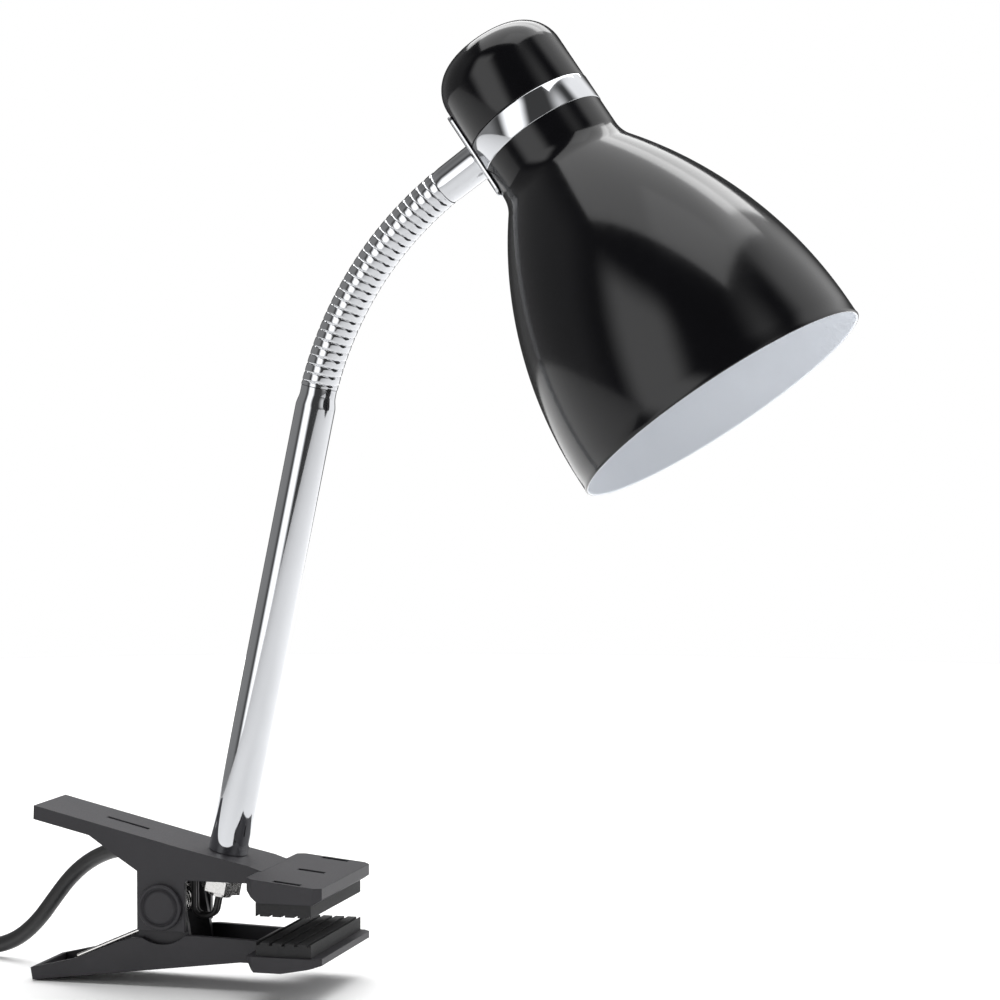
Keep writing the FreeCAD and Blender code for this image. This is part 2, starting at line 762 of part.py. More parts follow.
def trim_ring():
    """Chrome band whose inner sleeve joins the throat and the cap."""
    outer = size("throat_radius") + size("ring_proud")
    sleeve = size("throat_radius") - size("shade_wall") - 0.1
    bore = sleeve - 1.0
    outline = [(bore, size("ring_start") - 5.0), (sleeve, size("ring_start") - 5.0),
               (sleeve, size("ring_start")), (outer, size("ring_start")), (outer, size("ring_end")),
               (sleeve - 0.3, size("ring_end")), (sleeve - 0.3, SLEEVE_TOP), (bore, SLEEVE_TOP)]
    cut(turned(None, outline), [nipple_hole()], "trim_ring", SHADE)


def shade_cap():
    """Domed cap that closes the head."""
    radius = size("cap_radius")
    wall = size("shade_wall")
    low = size("ring_end")
    top = size("cap_top")
    bend = size("cap_round")
    crown = Size(1.6)
    dome = (radius - bend) * (radius - bend) / (2 * crown) + crown / 2
    outline = [(radius, low), (radius, top - crown - bend), arc_to(radius - bend, top - crown, bend),
               arc_to(0, top, dome), (0, top - crown - wall), (radius - bend, top - crown - wall),
               arc_to(radius - wall, top - crown - bend, bend - wall, -1), (radius - wall, low)]
    cut(turned(None, outline), [nipple_hole()], "shade_cap", SHADE)


def head_mount():
    """Collar, saddle plate, nipple, washer and nut that carry the shade on the neck."""
    length = SIZES["collar_length"]
    bore = size("nipple_radius")
    outline = [(bore, size("joint_gap")), (6.7, size("joint_gap")), (7.0, 3.0), (7.2, length), (bore, length)]
    turned("neck_collar", outline, COLLAR)
    thick = size("plate_thick")
    half = size("plate_length") / 2
    side = size("plate_width") / 2
    ends = half - 3.0
    outline = [(-half, 3.0 - side), arc_to(-ends, -side, 3.0), (ends, -side), arc_to(half, 3.0 - side, 3.0),
               (half, side - 3.0), arc_to(ends, side, 3.0), (-ends, side), arc_to(-half, side - 3.0, 3.0)]
    plate = padded(None, outline, thick)
    cut(plate, [rod(None, bore, 10.0, placed(z=-5.0))], "saddle_plate",
        COLLAR.multiply(placed(z=length)))
    inside = SIZES["throat_radius"] - SIZES["shade_wall"] - 1.1
    start = length + PLATE_OUT - inside
    reach = start + SIZES["washer_thick"] + 2.4
    nipple = [(size("nipple_bore"), 4.0), (bore, 4.0), (bore, reach), (size("nipple_bore"), reach)]
    turned("head_nipple", nipple, COLLAR)
    chord = inside - math.sqrt(inside ** 2 - 6.6 ** 2)
    washer = [(bore, 0), (6.6, 0), (6.6, size("washer_thick")), (bore, size("washer_thick"))]
    turned("head_washer", washer, COLLAR.multiply(placed(z=start + chord)))
    nut = hexagon(12.0, 1.8)
    cut(nut, [rod(None, bore, 10.0, placed(z=-5.0))], "head_nut",
        COLLAR.multiply(placed(z=start + chord + SIZES["washer_thick"])))


def lampholder():
    """Screw lampholder hung from a bracket plate inside the cap."""
    mouth = size("holder_mouth")
    split = mouth + 26.0
    top = SLEEVE_TOP
    outer = size("holder_radius")
    slim = Size(14.8)
    plate = turned(None, [(5.2, top), (22.6, top), (22.6, top + 1.2), (5.2, top + 1.2)])
    tools = [rod(None, 3.1, 10.0, placed(x=-16.9, z=SIZES["ring_end"]))]
    tools += [rod(None, 1.6, 10.0, placed(y=side * 10.5, z=SIZES["ring_end"])) for side in (-1, 1)]
    cut(plate, tools, "holder_bracket", SHADE)
    cap = turned(None, [(13.6, split), (slim, split), (slim, top), (5.2, top), (5.2, top - 2.4),
                        (13.6, top - 2.4)])
    pillars = [rod(None, 3.0, 6.0, placed(y=side * 10.5, z=top.value - 8.0)) for side in (-1, 1)]
    holes = [rod(None, 1.5, 12.0, placed(y=side * 10.5, z=top.value - 10.0)) for side in (-1, 1)]
    cut(joined([cap] + pillars), holes, "holder_cap", SHADE)
    bore = size("holder_bore")
    turned("holder_skirt", [(bore, mouth), (outer, mouth), (outer, split - 2.0), (slim + 1.6, split + 3.0),
                            (slim, split + 3.0), (slim, split), (14.1, split), (14.1, split - 3.0),
                            (bore, split - 3.0)], SHADE)
    shell = size("thread_radius") + 0.25
    turned("thread_shell", [(shell, mouth + 3.0), (shell + 0.5, mouth + 3.0), (shell + 0.5, split - 0.5),
                            (6.0, split - 0.5), (6.0, split - 1.0), (shell, split - 1.0)], SHADE)
    turned("contact_block", [(0, split), (13.6, split), (13.6, split + 6.0), (0, split + 6.0)], SHADE)
    rod("centre_contact", 2.4, 2.0, SHADE.multiply(placed(z=split.value - 2.0)))
    screws = []
    for side in (-1, 1):
        shank = rod(None, 1.5, 9.0, placed(y=side * 10.5, z=top.value - 7.8))
        head = rod(None, 2.9, 1.8, placed(y=side * 10.5, z=top.value + 1.2))
        screws.append(joined([shank, head]))
    group(screws, "holder_screws", SHADE)
    terminals = []
    for side in (-1, 1):
        block = box(-2.5, 2.5, 5.0, split + 6.0, split + 11.0, side * 5.0)
        screw = rod(None, 1.4, 3.0, FreeCAD.Placement(V(2.5, side * 5.0, split.value + 8.5),
                                                      FreeCAD.Rotation(V(0, 1, 0), 90)))
        terminals.append(joined([block, screw]))
    group(terminals, "core_terminals", SHADE)


def glass_side(offset):
    """The bulb glass from its nose to its open end, offset inwards by a wall."""
    ball = size("bulb_radius")
    middle = size("bulb_nose") + ball
    waist = size("bulb_waist")
    bend = size("bulb_bend")
    spread = waist + bend
    reach = ball + bend
    rise = (reach * reach - spread * spread).root()
    inner = ball - offset
    return [(0, middle - inner), arc_to(inner, middle, inner),
            arc_to(inner * (spread / reach), middle + inner * (rise / reach), inner),
            arc_to(waist - offset, middle + rise, bend + offset, -1),
            (waist - offset, size("bulb_neck") + 4.0)]


def bulb():
    """Screw-base bulb with a round thin-walled glass."""
    thread = size("thread_radius")
    neck = size("bulb_neck")
    seat = size("holder_mouth") + 24.0
    turned("bulb_base", [(0, neck + 4.0), (thread, neck + 4.0), (thread, seat - 4.0), (5.0, seat - 1.0),
                         (0, seat - 1.0)], SHADE)
    turned("bulb_glass", glass_side(Size(0.0)) + reversed_side(glass_side(size("bulb_wall"))), SHADE)


def head_cores():
    """Cores from the neck, over the bracket plate and down to the terminals."""
    start = SIZES["plate_middle"]
    inside = 1.0 - PLATE_OUT - SIZES["collar_length"]
    over = SLEEVE_TOP.value + 8.0
    end = SIZES["holder_mouth"] + 26.0 + 11.0
    up = -16.9
    points = [V(inside, 0, start), V(up, 0, start), V(up, 0, over), V(0, 0, over), V(0, 0, end + 4.0)]
    shaped("head_cores", core_pair(points, 1.9), SHADE)


# ---------------------------------------------------------------- mains lead

LEAD_Z = SIZES["floor_z"] + SIZES["lead_radius"]
LEAD_Y = 22.0
SWITCH_Y = 27.0
SWITCH_END_X = -175.0
SWITCH_FAR_X = SWITCH_END_X - SIZES["switch_length"]
COIL_X = SIZES["coil_centre_x"]
COIL_Y = SIZES["coil_centre_y"]
COIL_OUTER = SIZES["coil_mean"] + SIZES["coil_half_width"]
ENTRY_X = COIL_X - COIL_OUTER + SIZES["lead_radius"]
TAIL_Y = COIL_Y - COIL_OUTER + SIZES["lead_radius"]
PLUG_X = COIL_X + 32.0
PLUG_AXIS = 7.0               # height of the plug's middle above the surface


def lead_route():
    """Centre line of the free lead: out of the upper arm, down to the floor and to the switch."""
    return [V(-50.5, 0.0, 18.9), V(-63.2, 0.0, 21.9), V(-75.0, 6.0, 22.8), V(-87.0, 12.6, 20.2),
            V(-98.5, 18.2, 14.8), V(-107.5, 20.6, 7.6), V(-115.0, 21.7, -1.6), V(-122.5, 22.4, -11.4),
            V(-132.0, 23.2, -19.6), V(-143.5, 24.6, -23.6), V(-155.0, 26.4, LEAD_Z),
            V(-165.0, SWITCH_Y, LEAD_Z), V(SWITCH_END_X, SWITCH_Y, LEAD_Z)]


def link_route():
    """Centre line from the switch round to the coil."""
    return [V(SWITCH_FAR_X, SWITCH_Y, LEAD_Z), V(-246.0, 26.6, LEAD_Z), V(-259.0, 20.0, LEAD_Z),
            V(-265.0, 6.0, LEAD_Z + 0.3), V(-261.0, -10.0, LEAD_Z + 0.7), V(-251.5, -21.0, LEAD_Z + 0.9),
            V(ENTRY_X - 0.6, -32.0, LEAD_Z + 0.9), V(ENTRY_X, COIL_Y, LEAD_Z + 0.9)]


def tail_route():
    """Centre line from the coil to the plug."""
    axis = SIZES["floor_z"] + PLUG_AXIS
    high = LEAD_Z + 7.3
    return [V(COIL_X, TAIL_Y, high), V(COIL_X + 9.0, TAIL_Y, high), V(COIL_X + 19.0, TAIL_Y, high - 1.6),
            V(COIL_X + 27.0, TAIL_Y, axis), V(PLUG_X, TAIL_Y, axis)]


def mains_lead():
    """The round two-core lead: free run, link, coil and tail."""
    radius = SIZES["lead_radius"]
    shaped("lead_run", cord_solid(lead_route(), radius, report="lead_run"))
    shaped("lead_link", cord_solid(link_route(), radius, report="lead_link"))
    shaped("lead_tail", cord_solid(tail_route(), radius, report="lead_tail"))
    inner = size("coil_mean") - size("coil_half_width")
    outer = size("coil_mean") + size("coil_half_width")
    height = size("coil_height")
    bend = Size(3.0)
    outline = [arc_to(inner + bend, 0, bend), (outer - bend, 0), arc_to(outer, bend, bend),
               (outer, height - bend), arc_to(outer - bend, height, bend), (inner + bend, height),
               arc_to(inner, height - bend, bend), (inner, bend)]
    floor = SIZES["floor_z"] + SIZES["tie_thick"]
    turned("lead_coil", outline, placed(COIL_X, COIL_Y, floor))
    thick = size("tie_thick")
    around = box(inner - thick, outer + thick, size("tie_width"), -thick, height + thick)
    inside = box(inner + 0.02, outer - 0.02, size("tie_width") + 2.0, 0.02, height - 0.02)
    bar = cut(around, [inside])
    coil = turned(None, [(inner, 0), (outer, 0), (outer, height), (inner, height)])
    cut(bar, [coil], "lead_tie", placed(COIL_X, COIL_Y, floor, V(0, 0, 1), 20.0))


def lead_anchor():
    """Bar and two screws that grip the lead under the upper arm's top wall."""
    slope = FreeCAD.Rotation(V(0, 1, 0), 13.2)
    seat = V(-54.0, 0, 0)
    seat.z = SIZES["handle_end_z"] - 0.2345 * (seat.x - SIZES["handle_end_x"]) - SIZES["arm_wall"] * 1.03
    place = FreeCAD.Placement(seat, slope)
    bar = box(-3.5, 3.5, 12.8, -11.2, -9.2)
    saddle = rod(None, size("lead_radius") + 0.02, 30.0,
                 FreeCAD.Placement(V(-15.0, 0, -6.2), FreeCAD.Rotation(V(0, 1, 0), 90)))
    posts = [box(-3.5, 3.5, 3.4, -9.2, 0.0, side * 4.7) for side in (-1, 1)]
    holes = [rod(None, 0.9, 14.0, placed(y=side * 5.0, z=-12.0)) for side in (-1, 1)]
    cut(joined([bar] + posts), [saddle] + holes, "lead_anchor", place)
    screws = []
    for side in (-1, 1):
        shank = rod(None, 0.9, 10.8, placed(y=side * 5.0, z=-11.2))
        head = rod(None, 1.7, 1.3, placed(y=side * 5.0, z=-12.5))
        screws.append(joined([shank, head]))
    group(screws, "anchor_screws", place)


def switch():
    """In-line rocker switch: two shells, rocker, contacts and screws."""
    length = size("switch_length")
    split = size("switch_split")
    width = size("switch_width")
    height = size("switch_height")
    place = placed(SWITCH_END_X - SIZES["switch_length"] / 2, SWITCH_Y, SIZES["floor_z"])
    half = length / 2
    side = width / 2
    bend = Size(8.0)
    plan = [(-half, bend - side), arc_to(bend - half, -side, bend), (half - bend, -side),
            arc_to(half, bend - side, bend), (half, side - bend), arc_to(half - bend, side, bend),
            (bend - half, side), arc_to(-half, side - bend, bend)]
    lead_hole = rod(None, size("lead_radius") + 0.02, 9.0,
                    FreeCAD.Placement(V(-SIZES["switch_length"] / 2 - 1.0, 0, SIZES["lead_radius"]),
                                      FreeCAD.Rotation(V(0, 1, 0), 90)))
    far_hole = rod(None, size("lead_radius") + 0.02, 9.0,
                   FreeCAD.Placement(V(SIZES["switch_length"] / 2 - 8.0, 0, SIZES["lead_radius"]),
                                     FreeCAD.Rotation(V(0, 1, 0), 90)))
    base = padded(None, plan, split)
    hollow = box(-half + 8.0, half - 8.0, width - 3.2, 1.6, split + 1.0)
    bosses = [rod(None, 2.6, split, placed(x=end * 17.0, y=end * 7.6)) for end in (-1, 1)]
    pilots = [rod(None, 1.1, 20.0, placed(x=end * 17.0, y=end * 7.6, z=-0.5)) for end in (-1, 1)]
    cut(joined([cut(base, [hollow]), *bosses]), [lead_hole, far_hole] + pilots, "switch_base", place)
    cover = padded(None, plan, height - split, place=placed(z=split.value))
    inside = box(-half + 8.0, half - 8.0, width - 3.2, split - 1.0, height - 1.8)
    window = box(-size("rocker_length") / 2 - 0.3, size("rocker_length") / 2 + 0.3,
                 size("rocker_width") + 0.6, split, height + 5.0)
    posts = [rod(None, 2.6, height - split, placed(x=end * 17.0, y=end * 7.6, z=split.value))
             for end in (-1, 1)]
    blind = [rod(None, 1.1, 8.0, placed(x=end * 17.0, y=end * 7.6, z=split.value - 1.0)) for end in (-1, 1)]
    cut(joined([cut(cover, [inside, window]), *posts]), blind, "switch_cover", place)
    axle = height - 4.6
    reach = size("rocker_length") / 2
    rocker = profile_wall([(-reach, axle - 0.6), (reach, axle - 0.6), (reach - 0.6, axle + 5.6),
                           arc_to(-reach + 0.6, axle + 6.6, 60.0, -1)], size("rocker_width"))
    stem_block = box(-1.6, 1.6, 4.0, axle - 4.4, axle)
    pins = rod(None, 1.2, size("rocker_width") + 3.0,
               across(0, -(SIZES["rocker_width"] + 3.0) / 2, axle.value + 1.4))
    joined([rocker, stem_block, pins], "switch_rocker", place)
    contacts = []
    for end in (-1, 1):
        contacts.append(box(end * 9.0 - 4.0, end * 9.0 + 4.0, 4.0, 1.6, 2.8, 3.0))
        contacts.append(box(end * 9.0 - 2.5, end * 9.0 + 2.5, 4.0, 1.6, 4.8, -4.5))
    group(contacts, "switch_contacts", place)
    screws = []
    for end in (-1, 1):
        screws.append(rod(None, 1.1, split + 5.6, placed(x=end * 17.0, y=end * 7.6, z=0.3)))
    group(screws, "switch_screws", place)


def plug():
    """Flat two-pin plug with moulded body."""
    length = size("plug_length")
    place = FreeCAD.Placement(V(PLUG_X, TAIL_Y, SIZES["floor_z"] + PLUG_AXIS), FreeCAD.Rotation())
    wide = Size(13.0)
    neck = Size(5.5)
    plan = [(0, -neck), (8.0, -neck), (17.0, -wide), (length - 2.0, -wide), arc_to(length, 2.0 - wide, 2.0),
            (length, wide - 2.0), arc_to(length - 2.0, wide, 2.0), (17.0, wide), (8.0, neck), (0, neck)]
    body = padded(None, plan, 14.0, place=placed(z=-7.0))
    sockets = []
    pins = []
    shank = SIZES["plug_shank"]
    for side in (-1, 1):
        along = FreeCAD.Placement(V(SIZES["plug_length"], side * SIZES["plug_pin_pitch"] / 2, 0),
                                  FreeCAD.Rotation(V(0, 1, 0), 90))
        inside = along.multiply(placed(z=-shank))
        sockets.append(rod(None, size("plug_shank_radius"), size("plug_shank") + 1.0, inside))
        pins.append(joined([rod(None, size("plug_shank_radius"), size("plug_shank") + 1.0, inside),
                            rod(None, size("plug_pin_radius"), size("plug_pin_length"), along)]))
    cut(body, sockets, "plug_body", place)
    group(pins, "plug_pins", place)


def build():
    """Build every piece of the lamp."""
    upper_arm()
    lower_arm()
    jaw_pad("upper_pad", size("pad_gap") / 2, 1)
    jaw_pad("lower_pad", -(size("pad_gap") / 2), -1)
    hinge_parts()
    torsion_spring()
    stem()
    stem_cores()
    for number in range(SEGMENTS):
        neck_segment(number)
    neck_cores()
    head_mount()
    shade()
    trim_ring()
    shade_cap()
    lampholder()
    bulb()
    head_cores()
    lead_anchor()
    mains_lead()
    switch()
    plug()


NODES = (
    ["upper_arm", "lower_arm", "upper_pad", "lower_pad", "hinge_pin", "hinge_pin_heads", "torsion_spring",
     "stem_tube", "stem_bush", "stem_nipple", "stem_washer", "stem_nut", "stem_cores"]
    + [f"neck_segment_{number + 1}" for number in range(SEGMENTS)]
    + ["neck_cores", "neck_collar", "saddle_plate", "head_nipple", "head_washer", "head_nut", "shade",
       "trim_ring", "shade_cap", "holder_bracket", "holder_cap", "holder_skirt", "thread_shell",
       "contact_block", "centre_contact", "holder_screws", "core_terminals", "bulb_base", "bulb_glass",
       "head_cores", "lead_anchor", "anchor_screws", "lead_run", "lead_link", "lead_coil", "lead_tail",
       "lead_tie", "switch_base", "switch_cover", "switch_rocker", "switch_contacts", "switch_screws",
       "plug_body", "plug_pins"])


def export():
    """Check the document, then write one STEP file for each sub-part."""
    DOC.recompute()
    for item in DOC.Objects:
        if "Invalid" in item.State or "Error" in item.State:
            raise ValueError(f"{item.Name} ({item.Label}) failed: {item.State}")
    os.makedirs("parts", exist_ok=True)
    for node in NODES:
        shape = DOC.getObjectsByLabel(node)[0].Shape
        if shape.isNull() or not shape.isValid() or not shape.Solids:
            raise ValueError(f"{node} has no valid solid")
        shape.exportStep(f"parts/{node}.step")


build()
export()
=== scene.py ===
import json
import logging
import math
from dataclasses import dataclass, field
from enum import Enum

import bmesh
import bpy
import numpy as np
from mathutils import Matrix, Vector


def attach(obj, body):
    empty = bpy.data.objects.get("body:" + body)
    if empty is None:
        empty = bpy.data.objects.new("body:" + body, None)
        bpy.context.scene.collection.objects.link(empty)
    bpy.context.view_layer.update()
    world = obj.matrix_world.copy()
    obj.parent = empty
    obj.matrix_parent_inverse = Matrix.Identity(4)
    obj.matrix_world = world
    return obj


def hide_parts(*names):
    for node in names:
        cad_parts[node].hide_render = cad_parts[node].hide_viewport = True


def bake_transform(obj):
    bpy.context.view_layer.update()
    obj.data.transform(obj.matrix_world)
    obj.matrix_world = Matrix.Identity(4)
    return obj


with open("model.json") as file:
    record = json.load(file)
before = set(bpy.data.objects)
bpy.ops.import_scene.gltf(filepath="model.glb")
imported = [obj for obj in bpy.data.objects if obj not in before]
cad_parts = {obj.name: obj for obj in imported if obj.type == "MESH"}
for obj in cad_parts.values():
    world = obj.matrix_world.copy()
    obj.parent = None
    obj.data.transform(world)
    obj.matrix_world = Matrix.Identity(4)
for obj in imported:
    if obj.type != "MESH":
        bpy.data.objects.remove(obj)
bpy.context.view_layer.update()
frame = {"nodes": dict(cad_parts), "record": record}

LOG = logging.getLogger("reading_lamp")
Array = np.ndarray
JOINTS = {joint["name"]: joint for joint in frame["record"]["behaviour"]["joints"]}
STEM_TILT = 11.86
STEM_LENGTH = 0.1852
PLATE_MIDDLE = 0.1298
PLATE_THICK = 0.0012
FLOOR_HEIGHT = -0.0275


# ---------------------------------------------------------------- placing


def unit(vector: Array) -> Array:
    """The vector divided by its own length."""
    return np.asarray(vector, float) / np.linalg.norm(vector)


@dataclass(frozen=True)
class Place:
    """A right-handed frame: an origin and three unit axes, in metres in the row frame."""

    origin: Array
    x: Array
    y: Array
    z: Array

    def point(self, local: Array) -> Array:
        """Carry local points into the row frame.

        Args:
            local: Points of shape (..., 3) in this frame.

        Returns:
            The same points in the row frame: origin + X x + Y y + Z z.
        """
        local = np.asarray(local, float)
        return self.origin + local[..., :1] * self.x + local[..., 1:2] * self.y + local[..., 2:3] * self.z

    def shifted(self, x: float = 0.0, y: float = 0.0, z: float = 0.0) -> "Place":
        """The same axes with the origin moved along them."""
        return Place(self.point(np.array([x, y, z])), self.x, self.y, self.z)


WORLD_PLACE = Place(np.zeros(3), np.array([1.0, 0, 0]), np.array([0, 1.0, 0]), np.array([0, 0, 1.0]))


@dataclass(frozen=True)
class LampFrames:
    """The stem's, neck's, collar's and shade's frames, worked out from the neck's hinges."""

    hinges: Array
    bend_axis: Array
    stem: Place
    collar: Place
    shade: Place

    @staticmethod
    def from_record(stem_tilt: float, stem_length: float, collar_length: float, plate_out: float,
                    plate_middle: float) -> "LampFrames":
        """Work the frames out from the hinges in the record.

        Args:
            stem_tilt: Lean of the stem from upright, in degrees.
            stem_length: Length of the tube.
            collar_length: Length of the collar behind the shade.
            plate_out: Distance from the shade's axis to the saddle plate's outer face.
            plate_middle: Height of the collar's axis above the shade's mouth.

        Returns:
            The frames of the lamp at rest.
        """
        names = [stem + (f"_{n}" if n > 1 else "")
                 for n in range(1, 6) for stem in ("neck_bend", "neck_sway")]
        hinges = np.array([JOINTS[name]["pos_m"] for name in names], float)
        bend_axis = unit(JOINTS["neck_bend"]["axis"])
        tilt = math.radians(stem_tilt)
        up = np.array([math.sin(tilt), 0.0, math.cos(tilt)])
        side = np.array([0.0, 1.0, 0.0])
        stem = Place(hinges[0] - up * stem_length, np.cross(side, up), side, up)
        across = unit(JOINTS["neck_sway_5"]["axis"])
        along = np.cross(across, bend_axis)
        collar = Place(hinges[-1], across, bend_axis, along)
        heart = collar.shifted(z=collar_length + plate_out)
        shade = Place(heart.origin + across * plate_middle, along, bend_axis, -across)
        return LampFrames(hinges, bend_axis, stem, collar, shade)


# ---------------------------------------------------------------- surfaces


def arc(centre: tuple[float, float], radius: float, start: float, end: float, steps: int = 12) -> Array:
    """Points on a circle's arc: centre + radius (cos a, sin a), a running from start to end degrees."""
    angle = np.radians(np.linspace(start, end, steps))
    return np.stack([centre[0] + radius * np.cos(angle), centre[1] + radius * np.sin(angle)], axis=-1)


def outline(*parts: Array | tuple[float, float]) -> Array:
    """Join corners and arcs into one (n, 2) run of points, dropping repeats."""
    points = np.concatenate([np.atleast_2d(np.asarray(part, float)) for part in parts])
    keep = np.r_[True, np.linalg.norm(np.diff(points, axis=0), axis=1) > 1e-7]
    return points[keep]


def grid_object(name: str, grid: Array, finishes: list["Finish"], wrap: bool = True,
                rows: Array | None = None, closed: bool = False, sharp: float = 32.0) -> bpy.types.Object:
    """Skin a grid of points with quads.

    Args:
        name: Name of the new piece.
        grid: Points of shape (rows, steps, 3).
        finishes: Finishes for the material slots.
        wrap: Join the last step of every row to its first.
        rows: Index of the finish of each band between two rows.
        closed: Join the last row to the first as well.
        sharp: Edges steeper than this many degrees stay crisp.

    Returns:
        The piece, smooth shaded, at the origin.
    """
    count, steps = grid.shape[:2]
    i = np.arange(count if closed else count - 1)
    j = np.arange(steps if wrap else steps - 1)
    a, b = np.meshgrid(i, j, indexing="ij")
    c, d = (a + 1) % count, (b + 1) % steps
    quads = np.stack([a * steps + b, a * steps + d, c * steps + d, c * steps + b], axis=-1).reshape(-1, 4)
    mesh = bpy.data.meshes.new(name)
    mesh.from_pydata(grid.reshape(-1, 3).tolist(), [], quads.tolist())
    if rows is not None:
        mesh.polygons.foreach_set("material_index", np.repeat(rows, len(j)).astype(np.int32))
    return finished(mesh, finishes, sharp)


def finished(mesh: bpy.types.Mesh, finishes: list["Finish"], sharp: float = 32.0) -> bpy.types.Object:
    """Close poles and seams, turn faces outwards, shade smooth and link a mesh as a piece."""
    work = bmesh.new()
    work.from_mesh(mesh)
    bmesh.ops.remove_doubles(work, verts=work.verts, dist=2e-6)
    bmesh.ops.dissolve_degenerate(work, edges=work.edges, dist=1e-7)
    bmesh.ops.recalc_face_normals(work, faces=work.faces)
    work.to_mesh(mesh)
    work.free()
    mesh.polygons.foreach_set("use_smooth", np.ones(len(mesh.polygons), bool))
    mesh.set_sharp_from_angle(angle=math.radians(sharp))
    piece = bpy.data.objects.new(mesh.name, mesh)
    bpy.context.scene.collection.objects.link(piece)
    for finish in finishes:
        mesh.materials.append(finish.material())
    return piece


def revolved(name: str, profile: Array, place: Place, finishes: list["Finish"], steps: int = 96,
             rows: Array | None = None, closed: bool = False, sharp: float = 32.0) -> bpy.types.Object:
    """Turn a profile about a frame's Z: point (r, z) becomes (r cos a, r sin a, z).

    Args:
        name: Name of the new piece.
        profile: Points of shape (n, 2), radius and height in metres.
        place: Frame whose Z is the axis.
        finishes: Finishes for the material slots.
        steps: Steps round the axis.
        rows: Index of the finish of each band.
        closed: True for a ring, whose last point joins its first.
        sharp: Edges steeper than this stay crisp.

    Returns:
        The piece.
    """
    angle = np.linspace(0, 2 * np.pi, steps, endpoint=False)
    radius, height = profile[:, :1], profile[:, 1:]
    local = np.stack([radius * np.cos(angle), radius * np.sin(angle), height + 0 * angle], axis=-1)
    return grid_object(name, place.point(local), finishes, rows=rows, closed=closed, sharp=sharp)


def directions(line: Array) -> Array:
    """Unit tangents of a run of points."""
    tangent = np.gradient(line, axis=0)
    return tangent / np.linalg.norm(tangent, axis=1, keepdims=True)


def tube(name: str, line: Array, tangent: Array, radius: Array | float, normal: Array,
         finishes: list["Finish"], steps: int = 20, capped: bool = True) -> bpy.types.Object:
    """A round tube about a line: centre + r (cos a N + sin a B), N kept square to the tangent.

    Args:
        name: Name of the new piece.
        line: Centres, shape (n, 3).
        tangent: Unit tangents, shape (n, 3).
        radius: One radius, or one for each centre.
        normal: A direction that is never along the line.
        finishes: Finishes for the material slots.
        steps: Steps round the tube.
        capped: Close both ends with rows of no radius.

    Returns:
        The piece.
    """
    radius = np.broadcast_to(np.asarray(radius, float), (len(line),))
    if capped:
        line = np.vstack([line[:1], line, line[-1:]])
        tangent = np.vstack([tangent[:1], tangent, tangent[-1:]])
        radius = np.r_[0.0, radius, 0.0]
    side = normal - tangent * (tangent @ normal)[:, None]
    side /= np.linalg.norm(side, axis=1, keepdims=True)
    other = np.cross(tangent, side)
    angle = np.linspace(0, 2 * np.pi, steps, endpoint=False)[None, :, None]
    ring = np.cos(angle) * side[:, None] + np.sin(angle) * other[:, None]
    return grid_object(name, line[:, None] + radius[:, None, None] * ring, finishes)


def lofted(name: str, stations: Array, halves: Array, power: float, place: Place,
           finishes: list["Finish"], steps: int = 64) -> bpy.types.Object:
    """A body lofted along X through superellipses |y/b|^p + |z/c|^p = 1.

    Args:
        name: Name of the new piece.
        stations: Places along X, shape (n,).
        halves: Half width, half height and height of the middle at each station, shape (n, 3).
        power: The superellipse's power; 2 is an ellipse and more is squarer.
        place: Frame of the body.
        finishes: Finishes for the material slots.
        steps: Steps round each section.

    Returns:
        The piece, closed at both ends.
    """
    angle = np.linspace(0, 2 * np.pi, steps, endpoint=False)
    cosine, sine = np.cos(angle), np.sin(angle)
    across = np.sign(cosine) * np.abs(cosine) ** (2 / power)
    above = np.sign(sine) * np.abs(sine) ** (2 / power)
    ends = np.vstack([halves[:1] * [0, 0, 1], halves, halves[-1:] * [0, 0, 1]])
    stations = np.r_[stations[0], stations, stations[-1]]
    local = np.stack([stations[:, None] + 0 * angle, ends[:, :1] * across, ends[:, 2:] + ends[:, 1:2] * above],
                     axis=-1)
    return grid_object(name, place.point(local), finishes)


# ---------------------------------------------------------------- finishes


